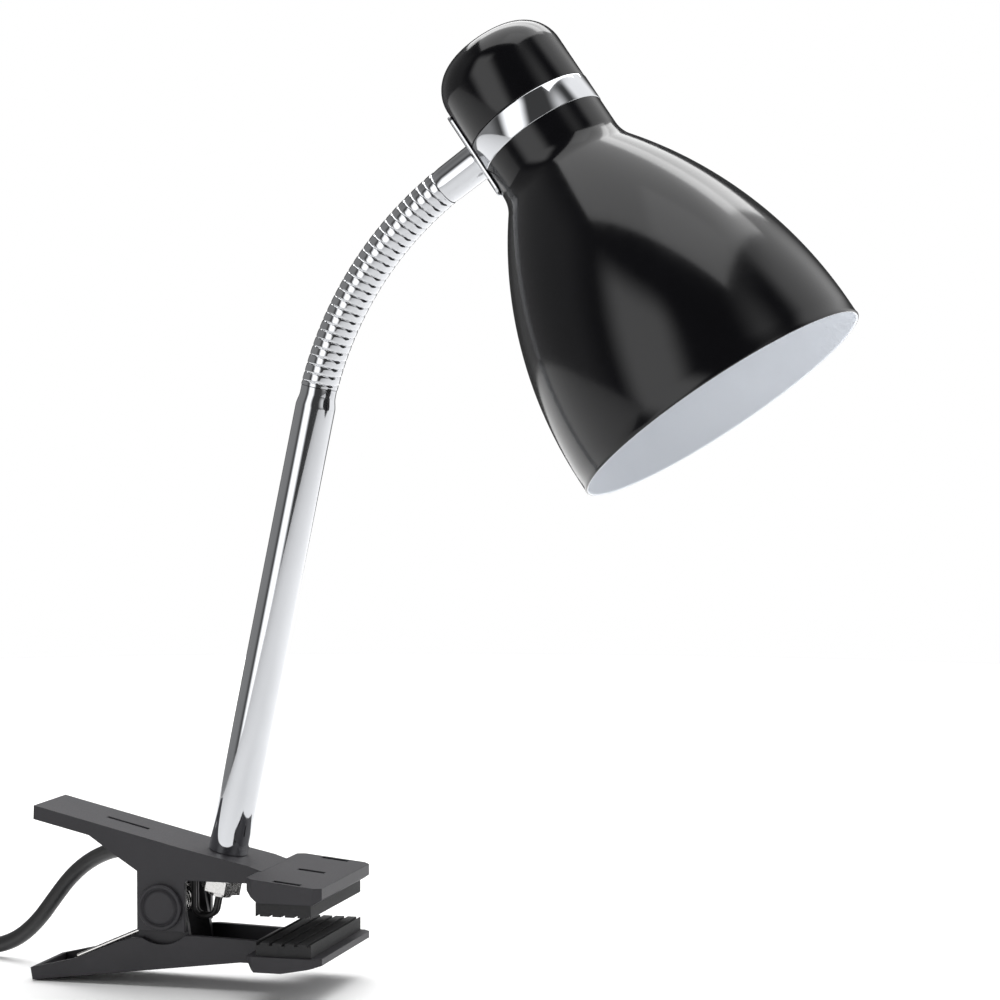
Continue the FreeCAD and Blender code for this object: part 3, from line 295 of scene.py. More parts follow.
@dataclass(frozen=True)
class Finish:
    """A procedural surface: a plain colour with fine grain in its roughness and relief."""

    name: str
    colour: tuple[float, float, float]
    roughness: float = 0.4
    metallic: float = 0.0
    grain: float = 900.0
    relief: float = 0.02
    variation: float = 0.06
    tone: float = 0.0
    coat: float = 0.0
    coat_roughness: float = 0.03
    edge: float = 0.0
    specular: float = 0.5

    def material(self) -> bpy.types.Material:
        """The material, made once and shared by every piece that has this finish."""
        known = bpy.data.materials.get(self.name)
        return known if known else self._made()

    def _made(self) -> bpy.types.Material:
        """Build the nodes: noise on Object coordinates drives tone, roughness and bump."""
        made = bpy.data.materials.new(self.name)
        made.use_nodes = True
        nodes, links = made.node_tree.nodes, made.node_tree.links
        shader = nodes["Principled BSDF"]
        shader.inputs["Metallic"].default_value = self.metallic
        shader.inputs["Coat Weight"].default_value = self.coat
        shader.inputs["Coat Roughness"].default_value = self.coat_roughness
        shader.inputs["Specular IOR Level"].default_value = self.specular
        where = nodes.new("ShaderNodeTexCoord")
        noise = nodes.new("ShaderNodeTexNoise")
        noise.inputs["Scale"].default_value = self.grain
        noise.inputs["Detail"].default_value = 4.0
        links.new(where.outputs["Object"], noise.inputs["Vector"])
        rough = nodes.new("ShaderNodeMapRange")
        rough.inputs["To Min"].default_value = max(0.0, self.roughness - self.variation)
        rough.inputs["To Max"].default_value = min(1.0, self.roughness + self.variation)
        links.new(noise.outputs["Fac"], rough.inputs["Value"])
        links.new(rough.outputs["Result"], shader.inputs["Roughness"])
        broad = nodes.new("ShaderNodeTexNoise")
        broad.inputs["Scale"].default_value = 45.0
        links.new(where.outputs["Object"], broad.inputs["Vector"])
        ramp = nodes.new("ShaderNodeValToRGB")
        low, high = 1.0 - self.tone, 1.0 + self.tone
        ramp.color_ramp.elements[0].position = 0.3
        ramp.color_ramp.elements[1].position = 0.7
        ramp.color_ramp.elements[0].color = (*[channel * low for channel in self.colour], 1.0)
        ramp.color_ramp.elements[1].color = (*[min(1.0, channel * high) for channel in self.colour], 1.0)
        links.new(broad.outputs["Fac"], ramp.inputs["Fac"])
        links.new(ramp.outputs["Color"], shader.inputs["Base Color"])
        bump = nodes.new("ShaderNodeBump")
        bump.inputs["Strength"].default_value = self.relief
        bump.inputs["Distance"].default_value = 0.0004
        links.new(noise.outputs["Fac"], bump.inputs["Height"])
        links.new(bump.outputs["Normal"], shader.inputs["Normal"])
        if self.edge > 0.0:
            soft = nodes.new("ShaderNodeBevel")
            soft.samples = 6
            soft.inputs["Radius"].default_value = self.edge
            links.new(soft.outputs["Normal"], bump.inputs["Normal"])
        return made


class Finishes(Enum):
    """Every finish on the lamp."""

    CHROME = Finish("mirror_chrome", (0.56, 0.57, 0.59), 0.06, 1.0, 260.0, 0.004, 0.02, 0.02)
    BLACK = Finish("gloss_black_enamel", (0.003, 0.003, 0.004), 0.13, 0.0, 240.0, 0.012, 0.03, 0.1, 0.0, 0.05,
                   specular=0.36)
    WHITE = Finish("white_lacquer", (0.80, 0.83, 0.88), 0.42, 0.0, 700.0, 0.03, 0.05, 0.015)
    CHARCOAL = Finish("moulded_charcoal", (0.022, 0.021, 0.025), 0.50, 0.0, 1500.0, 0.10, 0.07, 0.10,
                      edge=0.0005, specular=0.4)
    RUBBER = Finish("ribbed_rubber", (0.018, 0.018, 0.019), 0.78, 0.0, 1100.0, 0.2, 0.06, 0.12, edge=0.0003)
    STEEL = Finish("drawn_steel", (0.62, 0.61, 0.60), 0.26, 1.0, 800.0, 0.04, 0.08, 0.05, edge=0.0002)
    PHENOLIC = Finish("black_phenolic", (0.022, 0.021, 0.021), 0.32, 0.0, 600.0, 0.03, 0.06, 0.12, edge=0.0003)
    STEATITE = Finish("white_steatite", (0.78, 0.76, 0.70), 0.5, 0.0, 700.0, 0.06, 0.06, 0.03)
    BRASS = Finish("bright_brass", (0.72, 0.54, 0.25), 0.24, 1.0, 500.0, 0.03, 0.07, 0.08)
    ALUMINIUM = Finish("rolled_aluminium", (0.78, 0.78, 0.79), 0.3, 1.0, 600.0, 0.03, 0.08, 0.03)
    OPAL = Finish("opal_glass", (0.90, 0.89, 0.86), 0.22, 0.0, 200.0, 0.004, 0.03, 0.01, 0.5, 0.02)
    SHEATH = Finish("black_lead_sheath", (0.016, 0.016, 0.017), 0.4, 0.0, 800.0, 0.06, 0.08, 0.12)
    CORES = Finish("dark_core_insulation", (0.022, 0.021, 0.022), 0.45, 0.0, 600.0, 0.02, 0.06, 0.05)
    SATIN = Finish("satin_black_plastic", (0.020, 0.020, 0.021), 0.42, 0.0, 1300.0, 0.08, 0.07, 0.1, edge=0.0003)


NODE_FINISH: dict[str, Finishes] = {
    "clamp_plastic": Finishes.CHARCOAL, "pad_rubber": Finishes.RUBBER, "polished_chrome": Finishes.CHROME,
    "plain_steel": Finishes.STEEL, "shade_paint": Finishes.BLACK, "cap_gloss": Finishes.BLACK,
    "holder_black": Finishes.PHENOLIC, "ceramic_white": Finishes.STEATITE, "contact_brass": Finishes.BRASS,
    "base_aluminium": Finishes.ALUMINIUM, "bulb_opal": Finishes.OPAL, "lead_jacket": Finishes.SHEATH,
    "core_insulation": Finishes.CORES, "switch_plastic": Finishes.SATIN,
}


def dress_nodes() -> None:
    """Give every CAD node the finish of its own material slot."""
    for part in frame["record"]["subparts"]:
        made = NODE_FINISH[part["material_slot"]].value.material()
        for slot in frame["nodes"][part["node"]].material_slots:
            slot.material = made


def settle(piece: bpy.types.Object, body: str, slot: str, *nodes: str) -> bpy.types.Object:
    """Let a new piece ride on a body and stand for CAD nodes.

    Args:
        piece: The new piece.
        body: The body that carries it.
        slot: The record's material slot; not used.
        nodes: CAD nodes that it replaces.

    Returns:
        The same piece.
    """
    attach(piece, body)
    if nodes:
        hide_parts(*nodes)
    LOG.info("%s rides on %s", piece.name, body)
    return piece


# ---------------------------------------------------------------- lamp head


@dataclass
class LampHead:
    """Bell shade, chrome band, cap, saddle plate, collar, lampholder and bulb."""

    frames: LampFrames
    mouth: float = 0.059
    straight: float = 0.006
    bell: float = 0.165
    wall: float = 0.0008
    fillet: float = 0.014
    throat: float = 0.025
    ring_start: float = 0.1215
    ring_end: float = 0.132
    ring_proud: float = 0.0002
    cap_top: float = 0.1655
    cap_round: float = 0.014
    crown: float = 0.0016
    collar_length: float = 0.0176
    plate_size: tuple[float, float, float] = (0.036, 0.022, PLATE_THICK)
    holder_mouth: float = 0.092
    holder_radius: float = 0.0196
    holder_bore: float = 0.0172
    bulb_radius: float = 0.0275
    bulb_nose: float = 0.016
    bulb_neck: float = 0.088
    bulb_waist: float = 0.013
    bulb_bend: float = 0.046
    thread: float = 0.0131

    def side(self, inset: float) -> Array:
        """The bell's profile from throat to mouth: a throat, a hollow fillet, a wide arc and a straight lip.

        Args:
            inset: How far the profile is moved inwards.

        Returns:
            Points of shape (n, 2).
        """
        spread = self.throat + self.fillet - self.mouth + self.bell
        reach = self.bell + self.fillet
        rise = math.sqrt(reach ** 2 - spread ** 2)
        tip = math.degrees(math.atan2(rise, spread))
        shoulder = (self.throat + self.fillet, self.straight + rise)
        hip = (self.mouth - self.bell, self.straight)
        return outline((self.throat - inset, self.ring_start),
                       arc(shoulder, self.fillet + inset, 180.0, 180.0 + tip, 24),
                       arc(hip, self.bell - inset, tip, 0.0, 60), (self.mouth - inset, 0.0015))

    def shade(self) -> None:
        """The spun shade with a thin rounded hem, enamelled outside and lacquered white inside."""
        outside = self.side(0.0)
        hem = arc((self.mouth - 0.0004, 0.0006), 0.0006, 0.0, -180.0, 9)
        inside = self.side(self.wall)[::-1]
        profile = outline(outside, hem, inside)
        inner = np.arange(len(profile) - 1) >= len(outside) + 4
        piece = revolved("bell_shade", profile, self.frames.shade,
                         [Finishes.BLACK.value, Finishes.WHITE.value], 192, inner.astype(int), closed=False)
        settle(piece, "head", "shade_paint", "shade")

    def band(self) -> None:
        """The chrome band, a hair proud of the throat with softened edges."""
        outer = self.throat + self.ring_proud
        low, high, soft = self.ring_start, self.ring_end, 0.0004
        profile = outline((self.throat - 0.0022, low - 0.005), (self.throat - 0.0009, low - 0.005),
                          (self.throat - 0.0009, low), arc((outer - soft, low + soft), soft, -90, 0, 5),
                          arc((outer - soft, high - soft), soft, 0, 90, 5), (self.throat - 0.0012, high),
                          (self.throat - 0.0012, high + 0.005), (self.throat - 0.0022, high + 0.005))
        settle(revolved("chrome_band", profile, self.frames.shade, [Finishes.CHROME.value], 144, closed=True),
               "head", "polished_chrome", "trim_ring")

    def cap(self) -> None:
        """The domed cap: a straight side, a wide shoulder arc and a shallow crown."""
        radius, top = self.throat, self.cap_top
        bend = self.cap_round
        flat = radius - bend
        dome = (flat ** 2 / self.crown + self.crown) / 2
        sweep = math.degrees(math.asin(flat / dome))
        shoulder = (flat, top - self.crown - bend)
        outer = outline(arc((radius - 0.0004, self.ring_end + 0.0006), 0.0004, -90, 0, 4),
                        arc(shoulder, bend, 0.0, 90.0 - sweep * 0.6, 26),
                        arc((0.0, top - dome), dome, 90.0 - sweep * 0.92, 90.0, 12))
        outer[-1, 0] = 0.0
        inner = outline((0.0, top - self.crown - self.wall), (flat, top - self.crown - self.wall),
                        arc(shoulder, bend - self.wall, 90.0, 0.0, 18), (radius - self.wall, self.ring_end + 0.0002))
        settle(revolved("domed_cap", outline(outer, inner, (radius - 0.0004, self.ring_end + 0.0002)),
                        self.frames.shade, [Finishes.BLACK.value], 144, sharp=40.0),
               "head", "cap_gloss", "shade_cap")

    def collar(self) -> None:
        """The polished collar, with a small bead where the neck enters."""
        length = self.collar_length
        profile = outline((0.0049, 0.0005), (0.0062, 0.0005), arc((0.0064, 0.0009), 0.0004, -90, 0, 5),
                          (0.0069, 0.0016), (0.0071, 0.004), (0.0072, length - 0.0003), (0.0073, length + 0.0009),
                          (0.0049, length + 0.0009))
        settle(revolved("neck_collar_sleeve", profile, self.frames.collar, [Finishes.CHROME.value], 96, closed=True),
               "head", "polished_chrome", "neck_collar")

    def bulb(self) -> None:
        """The bulb's glass: a ball, a hollow neck and a waist, and its screwed base as a rounded thread."""
        spread = self.bulb_waist + self.bulb_bend
        reach = self.bulb_radius + self.bulb_bend
        rise = math.sqrt(reach ** 2 - spread ** 2)
        middle = self.bulb_nose + self.bulb_radius
        tip = math.degrees(math.atan2(rise, spread))
        glass = outline(arc((0.0, middle), self.bulb_radius, -90.0, tip, 40),
                        arc((spread, middle + rise), self.bulb_bend, 180.0 + tip, 180.0, 20),
                        (self.bulb_waist, self.bulb_neck + 0.004), (0.0, self.bulb_neck + 0.004))
        glass[0, 0] = 0.0
        settle(revolved("bulb_ball", glass, self.frames.shade, [Finishes.OPAL.value], 96), "head", "bulb_opal",
               "bulb_glass")
        height = np.linspace(self.bulb_neck + 0.004, self.holder_mouth + 0.020, 90)
        turns = (height - height[0]) / 0.0036
        ridge = self.thread - 0.0004 + 0.0004 * np.cos(2 * np.pi * turns)
        base = outline((0.0, height[0]), np.stack([ridge, height], axis=-1), (0.005, height[-1] + 0.003),
                       (0.0, height[-1] + 0.003))
        settle(revolved("bulb_screw_base", base, self.frames.shade, [Finishes.ALUMINIUM.value], 72, sharp=60.0),
               "head", "base_aluminium", "bulb_base")

    def holder(self) -> None:
        """The lampholder's skirt, with shallow grip flutes round it: r = R - d |sin 18 a|."""
        mouth, split, slim = self.holder_mouth, self.holder_mouth + 0.026, 0.0148
        wide = self.holder_radius
        profile = outline((self.holder_bore, mouth + 0.0004),
                          arc((wide - 0.0006, mouth + 0.0006), 0.0006, -90, 0, 5),
                          (wide, mouth + 0.004), (wide, split - 0.004), (wide - 0.0004, split - 0.0025),
                          (slim + 0.0018, split + 0.0025), (slim + 0.0012, split + 0.003), (slim, split + 0.003),
                          (slim, split), (0.0141, split), (0.0141, split - 0.003), (self.holder_bore, split - 0.003))
        steps = 240
        angle = np.linspace(0, 2 * np.pi, steps, endpoint=False)
        fluted = ((profile[:, 0] > wide - 0.0005) & (profile[:, 1] > mouth + 0.002)).astype(float)[:, None]
        radius = profile[:, :1] - 0.0005 * fluted * np.abs(np.sin(18 * angle))
        local = np.stack([radius * np.cos(angle), radius * np.sin(angle), profile[:, 1:] + 0 * angle], axis=-1)
        piece = grid_object("lampholder_skirt", self.frames.shade.point(local), [Finishes.PHENOLIC.value],
                            closed=True)
        settle(piece, "head", "holder_black", "holder_skirt")

    def plate(self) -> None:
        """The saddle plate: a thin round-cornered rectangle wrapped on the throat, bored in the middle.

        Its height is raised by R - sqrt(R^2 - y^2), which bends it about the throat's axis.
        """
        long, wide, thick = self.plate_size
        place = self.frames.collar.shifted(z=self.collar_length)
        corner = 0.003
        turn = np.linspace(0, 90, 10)
        spots = [(long / 2 - corner, wide / 2 - corner), (corner - long / 2, wide / 2 - corner),
                 (corner - long / 2, corner - wide / 2), (long / 2 - corner, corner - wide / 2)]
        centre = np.repeat(np.array(spots), len(turn), axis=0)
        angle = np.radians(np.concatenate([turn + 90 * n for n in range(4)]))
        away = np.stack([np.cos(angle), np.sin(angle)], axis=-1)
        soft = 0.0003
        edges = [(soft, 0.0), (0.3 * soft, 0.3 * soft), (0.0, soft), (0.0, thick - soft),
                 (0.3 * soft, thick - 0.3 * soft), (soft, thick)]
        bore = np.arctan2(centre[:, 1] + corner * away[:, 1], centre[:, 0] + corner * away[:, 0])
        hole = 0.0049 * np.stack([np.cos(bore), np.sin(bore)], axis=-1)
        flat = centre + (corner - soft) * away
        spread = [hole + (flat - hole) * share for share in (0.0, 0.2, 0.4, 0.6, 0.8)]
        rings = [(ring, 0.0) for ring in spread]
        rings += [(centre + (corner - inset) * away, height) for inset, height in edges]
        rings += [(ring, thick) for ring in reversed(spread)]
        local = np.array([np.column_stack([ring, np.full(len(ring), height)]) for ring, height in rings])
        bend = self.throat + self.ring_proud + thick
        local[..., 2] += bend - np.sqrt(bend ** 2 - local[..., 1] ** 2)
        settle(grid_object("saddle_strip", place.point(local), [Finishes.CHROME.value], closed=True, sharp=15.0),
               "head", "polished_chrome", "saddle_plate")

    def build(self) -> None:
        """Build every new piece of the head."""
        self.shade()
        self.band()
        self.cap()
        self.collar()
        self.plate()
        self.holder()
        self.bulb()


# ---------------------------------------------------------------- gooseneck and stem


@dataclass
class Gooseneck:
    """Corrugated hose in ten lengths, each between two neighbouring bodies."""

    frames: LampFrames
    crest: float = 0.0071
    root: float = 0.0066
    pitch: float = 0.00336
    gap: float = 0.00075
    core_radius: float = 0.0010
    core_offset: float = 0.00125
    rows_per_pitch: int = 22
    steps: int = 84

    def lengths(self) -> list[tuple[str, str, Array]]:
        """The bodies and the three control points of each length, from one link's middle to the next."""
        hinges = self.frames.hinges
        up, along = self.frames.stem.z, self.frames.collar.z
        middles = 0.5 * (hinges[1:] + hinges[:-1])
        starts = np.vstack([hinges[:1] - up * self.gap, middles])
        ends = np.vstack([middles, hinges[-1:] + along * self.gap])
        bodies = ["clamp"] + [f"neck_{n}" for n in range(1, 10)] + ["head"]
        return [(bodies[k], bodies[k + 1], np.array([starts[k], hinges[k], ends[k]])) for k in range(10)]

    def build(self) -> None:
        """Build each length about a parabola through its control points.

        The radius is root + (crest - root) (1 - |2u - 1|^5)^(1/2), where u is the fraction of
        distance / pitch - angle / turn, so that the ridges run round the hose as one thread.
        """
        travelled = 0.0
        angle = np.linspace(0, 2 * np.pi, self.steps, endpoint=False)
        for number, (first, second, control) in enumerate(self.lengths()):
            size = np.linalg.norm(control[1] - control[0]) + np.linalg.norm(control[2] - control[1])
            count = max(12, round(size / self.pitch * self.rows_per_pitch))
            t = np.linspace(0, 1, count)[:, None]
            line = (1 - t) ** 2 * control[0] + 2 * t * (1 - t) * control[1] + t ** 2 * control[2]
            if number in (0, 9):
                corner = np.linalg.norm(control[1] - control[0]) / size
                bend = np.clip((t - corner) / (1 - corner), 0, 1)
                line = np.where(t < corner, control[0] + (control[1] - control[0]) * t / corner,
                                control[1] + (control[2] - control[1]) * bend)
            tangent = directions(line)
            if number > 0:
                tangent[0] = unit(control[1] - control[0])
            tangent[-1] = unit(control[2] - control[1])
            distance = travelled + np.r_[0.0, np.cumsum(np.linalg.norm(np.diff(line, axis=0), axis=1))]
            travelled = distance[-1]
            u = np.mod(distance[:, None] / self.pitch - angle / (2 * np.pi), 1.0)
            radius = self.root + (self.crest - self.root) * np.sqrt(np.clip(1 - np.abs(2 * u - 1) ** 5, 0, 1))
            side = np.broadcast_to(self.frames.bend_axis, tangent.shape)
            other = np.cross(tangent, side)
            ring = np.cos(angle)[:, None] * side[:, None] + np.sin(angle)[:, None] * other[:, None]
            piece = grid_object(f"neck_hose_{number + 1}", line[:, None] + radius[..., None] * ring,
                                [Finishes.CHROME.value], sharp=75.0)
            if number < 9:
                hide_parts(f"neck_segment_{number + 1}")
            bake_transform(piece)
            LOG.info("%s bends between %s and %s", piece.name, first, second)
            for label, offset in (("near", -self.core_offset), ("far", self.core_offset)):
                core = tube(f"neck_core_{label}_{number + 1}", line + offset * side, tangent, self.core_radius,
                            self.frames.bend_axis, [Finishes.CORES.value], 12)
                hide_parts("neck_cores")
                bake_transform(core)


@dataclass
class Stem:
    """Chrome tube with a swaged top."""

    frames: LampFrames
    length: float = STEM_LENGTH
    radius: float = 0.0077
    wall: float = 0.001
    swage: float = 0.008
    slim: float = 0.0069
    gap: float = 0.00075

    def build(self) -> None:
        """The tube: straight side, a short S-shaped swage and a rolled mouth at both ends."""
        top = self.length - self.gap
        t = np.linspace(0, 1, 14)
        ease = t * t * (3 - 2 * t)
        swage = np.stack([self.radius + (self.slim - self.radius) * ease, top - self.swage + 0.005 * t], -1)
        inner = self.radius - self.wall
        profile = outline((inner, 0.0), arc((self.radius - 0.0004, 0.0004), 0.0004, -90, 0, 6),
                          (self.radius, 0.05), (self.radius, 0.11), swage,
                          arc((self.slim - 0.0004, top - 0.0004), 0.0004, 0, 90, 6),
                          (self.slim - self.wall, top), (self.slim - self.wall, top - 0.003),
                          (inner, top - self.swage))
        settle(revolved("stem_pipe", profile, self.frames.stem, [Finishes.CHROME.value], 128, closed=True),
               "clamp", "polished_chrome", "stem_tube")


# ---------------------------------------------------------------- clamp


@dataclass
class Clamp:
    """Rivet heads and torsion spring of the spring clamp."""

    pivot: tuple[float, float] = (-0.0547, 0.0038)
    arm_width: float = 0.031
    disc_radius: float = 0.0089
    disc_thick: float = 0.0019
    wire: float = 0.0018
    mean: float = 0.0105
    turns: float = 5.2817
    pitch: float = 0.00295
    lower_leg: float = 0.042
    upper_leg: float = 0.023
    swing: float = 66.4

    def rivet_heads(self) -> None:
        """Two round heads, each a shallow dish inside a raised rim."""
        radius, thick = self.disc_radius, self.disc_thick
        profile = outline((0.0, 0.0), (radius, 0.0), (radius, thick - 0.0006),
                          arc((radius - 0.0006, thick - 0.0006), 0.0006, 0, 90, 7),
                          (radius - 0.0013, thick - 0.00005), (radius - 0.0017, thick - 0.0007),
                          (radius - 0.0021, thick - 0.0008), (radius - 0.0026, thick - 0.0002),
                          (radius - 0.0034, thick + 0.0), (radius * 0.3, thick + 0.0), (0.0, thick + 0.0))
        for side, name in ((-1.0, "near"), (1.0, "far")):
            origin = np.array([self.pivot[0], side * self.arm_width / 2, self.pivot[1]])
            place = Place(origin, np.array([0, 0, 1.0]), np.array([side, 0, 0]), np.array([0, side, 0]))
            piece = revolved(f"rivet_head_{name}", profile, place, [Finishes.CHARCOAL.value], 72, sharp=50.0)
            settle(piece, "clamp", "clamp_plastic", "hinge_pin_heads")

    def spring(self) -> None:
        """The torsion spring: a helix round the pin, and two straight legs along its end tangents."""
        half = self.pitch * self.turns / 2
        angle = np.linspace(0, 2 * np.pi * self.turns, 260)
        radius = self.mean / 2
        coil = np.stack([radius * np.cos(angle), radius * np.sin(angle), half - self.pitch * angle / (2 * np.pi)], -1)
        slope = self.pitch / (2 * np.pi * radius)
        into = unit([0.0, 1.0, -slope])
        out = unit([-math.sin(angle[-1]), math.cos(angle[-1]), -slope])
        turn = math.radians(self.swing)
        # The coil's axis lies along -Y, then the whole spring swings about the pin.
        x = np.array([math.cos(turn), 0.0, -math.sin(turn)])
        z = np.array([math.sin(turn), 0.0, math.cos(turn)])
        place = Place(np.array([self.pivot[0], 0.0, self.pivot[1]]), x, z, np.array([0.0, -1.0, 0.0]))
        lower = coil[0] - into * np.linspace(self.lower_leg, 0.0, 12)[:, None]
        upper = coil[-1] + out * np.linspace(0.0, self.upper_leg, 8)[:, None]
        for name, body, line in (("spring_lower_leg", "lower_jaw", np.vstack([lower, coil[1:20]])),
                                 ("spring_coil", "clamp", np.vstack([coil[18:-1], upper]))):
            line = place.point(line)
            tangent = directions(line)
            piece = tube(name, line, tangent, self.wire / 2, np.array([0.0, 1.0, 0.05]), [Finishes.STEEL.value], 16)
            settle(piece, body, "plain_steel", "torsion_spring")

    def build(self) -> None:
        """Build every new piece of the clamp."""
        self.rivet_heads()
        self.spring()


# ---------------------------------------------------------------- mains lead


def rounded(half_x: float, half_y: float, corner: float, angle: Array) -> Array:
    """A rounded rectangle: clip(2 cos a), clip(2 sin a) times the flats, plus the corner's circle."""
    return np.stack([np.clip(2 * np.cos(angle), -1, 1) * (half_x - corner) + corner * np.cos(angle),
                     np.clip(2 * np.sin(angle), -1, 1) * (half_y - corner) + corner * np.sin(angle)], -1)


@dataclass
class MainsLead:
    """The round lead in one smooth line, with its rocker switch, coil, tie, reliefs and plug."""

    radius: float = 0.0032
    floor: float = FLOOR_HEIGHT
    coil_centre: tuple[float, float] = (-0.204, -0.042)
    coil_mean: float = 0.036
    coil_half: float = 0.0098
    turns: float = 5.25
    per_turn: int = 16
    switch_end: float = -0.175
    switch_size: tuple[float, float, float] = (0.058, 0.025, 0.016)
    switch_y: float = 0.027
    split: float = 0.007
    rocker: tuple[float, float] = (0.018, 0.009)
    plug_x: float = -0.172
    plug_axis: float = -0.0205
    pin_radius: float = 0.002
    pin_length: float = 0.019
    pin_pitch: float = 0.019
    pieces: list[bpy.types.Object] = field(default_factory=list)
    path: Array = field(default_factory=lambda: np.zeros((0, 3)))

    @property
    def level(self) -> float:
        """Height of the lead's middle where it lies on the floor."""
        return self.floor + self.radius

    @property
    def tail_y(self) -> float:
        """Where the tail leaves the coil."""
        return self.coil_centre[1] - self.coil_mean - self.coil_half + self.radius

    def free_run(self) -> Array:
        """Control points from the anchor in the upper arm down to the switch."""
        low = self.level
        return np.array([(-0.0505, 0.0, 0.0189), (-0.0632, 0.0, 0.0219), (-0.075, 0.006, 0.0228),
                         (-0.087, 0.0126, 0.0202), (-0.0985, 0.0182, 0.0148), (-0.1075, 0.0206, 0.0076),
                         (-0.115, 0.0217, -0.0016), (-0.1225, 0.0224, -0.0114), (-0.132, 0.0232, -0.0196),
                         (-0.1435, 0.0246, -0.0236), (-0.155, 0.0264, low), (-0.165, self.switch_y, low),
                         (self.switch_end, self.switch_y, low)])

    def link(self) -> Array:
        """Control points from the switch round to the coil."""
        low, entry = self.level, self.coil_centre[0] - self.coil_mean - self.coil_half + self.radius
        return np.array([(-0.233, 0.027, low), (-0.246, 0.0266, low), (-0.259, 0.020, low),
                         (-0.265, 0.006, low + 0.0003), (-0.261, -0.010, low + 0.0007),
                         (-0.2515, -0.021, low + 0.0009), (entry - 0.0006, -0.032, low + 0.0009),
                         (entry, -0.042, low + 0.0009)])

    def coil(self) -> Array:
        """Control points of the coil: in over the floor, up round the inside and out on top.

        The first two turns run inwards a diameter a turn, the third rolls up over its neighbour, and
        the rest runs outwards on the layer above.
        """
        step = 2 * self.radius + 0.0001
        turn = np.arange(1, round(self.turns * self.per_turn) + 1) / self.per_turn
        outer = self.coil_mean + self.coil_half - self.radius
        s = np.clip(turn - 2, 0, 1)
        inwards = outer - step * np.minimum(turn, 2.0)
        rolling = outer - step - step * s - step * np.cos(np.pi * s / 2)
        above = np.mod(turn, 1.0)
        inner = outer - step - step * above - step * np.cos(np.pi * above / 2)
        lift = 1 - np.sin(np.pi * above / 2)
        outwards = inner + step * np.sqrt(np.clip(1 - lift ** 2, 0, 1)) + step * (np.floor(turn + 1e-9) - 3)
        reach = np.where(turn <= 2, inwards, np.where(turn < 3, rolling, outwards))
        height = self.level + 0.0009 + step * np.where(turn <= 2, 0.0, np.sin(np.pi * s / 2))
        angle = np.pi + 2 * np.pi * turn
        reach = reach / math.cos(math.pi / self.per_turn) ** 0.6
        return np.stack([self.coil_centre[0] + reach * np.cos(angle),
                         self.coil_centre[1] + reach * np.sin(angle), height], -1)

    def tail(self) -> Array:
        """Control points from the coil's top layer to the plug."""
        x, y, high = self.coil_centre[0], self.tail_y, self.level + 0.0073
        return np.array([(x + 0.010, y - 0.0030, high), (x + 0.0195, y - 0.0008, high - 0.0016),
                         (x + 0.026, y, self.plug_axis), (self.plug_x, y, self.plug_axis)])

    def line(self) -> bpy.types.Object:
        """The lead as one NURBS spline through every stretch."""
        route = np.vstack([self.free_run(), self.link(), self.coil(), self.tail()])
        curve = bpy.data.curves.new("mains_lead", "CURVE")
        curve.dimensions = "3D"
        spline = curve.splines.new("NURBS")
        spline.points.add(len(route) - 1)
        spline.points.foreach_set("co", np.c_[route, np.ones(len(route))].ravel())
        spline.order_u = 3
        spline.use_endpoint_u = True
        curve.resolution_u = 8
        piece = bpy.data.objects.new("mains_lead", curve)
        bpy.context.scene.collection.objects.link(piece)
        bare = bpy.data.meshes.new_from_object(piece)
        self.path = np.array([vertex.co for vertex in bare.vertices])
        bpy.data.meshes.remove(bare)
        curve.bevel_depth = self.radius
        curve.bevel_resolution = 6
        curve.use_fill_caps = True
        curve.materials.append(Finishes.SHEATH.value.material())
        return piece

    def relief(self, name: str, near: Array, direction: float, length: float) -> bpy.types.Object:
        """A ribbed, tapering strain relief that follows the lead away from a housing.

        Args:
            name: Name of the piece.
            near: The point of the lead at the housing.
            direction: 1 along the lead, -1 back along it.
            length: Length of the relief.

        Returns:
            The piece: radius falls from 1.42 to 1.08 of the lead's, with five shallow ribs.
        """
        start = int(np.argmin(np.linalg.norm(self.path - near, axis=1)))
        run = self.path[start:] if direction > 0 else self.path[:start + 1][::-1]
        far = np.r_[0.0, np.cumsum(np.linalg.norm(np.diff(run, axis=0), axis=1))]
        at = np.linspace(0.0, length, 44)
        line = np.stack([np.interp(at, far, run[:, n]) for n in range(3)], -1)
        tangent = directions(line)
        share = at / length
        ribs = 0.94 + 0.06 * np.sign(np.cos(2 * np.pi * 5 * share + 0.4))
        radius = self.radius * np.maximum((1.42 - 0.34 * share) * ribs, 1.04)
        line[:, 2] += np.maximum(self.floor + radius - line[:, 2], 0.0)
        return tube(name, line, tangent, radius, np.array([0.0, 0.0, 1.0]), [Finishes.SATIN.value], 28)

    def switch(self) -> None:
        """The in-line switch: two rounded shells with a fine parting line, and a rocker in a window."""
        long, wide, high = self.switch_size
        place = WORLD_PLACE.shifted(self.switch_end - long / 2, self.switch_y, self.floor)
        angle = np.linspace(0, 2 * np.pi, 120, endpoint=False)
        half, side, corner = long / 2, wide / 2, 0.008

        def ring(inset: float, height: float, crown: float = 0.0) -> Array:
            """One rounded ring at a height, lower towards its ends by the crown."""
            flat = rounded(half - inset, side - inset, max(corner - inset, 0.001), angle)
            rise = height - crown * (flat[:, 0] / half) ** 2
            return np.concatenate([flat, rise[:, None]], -1)

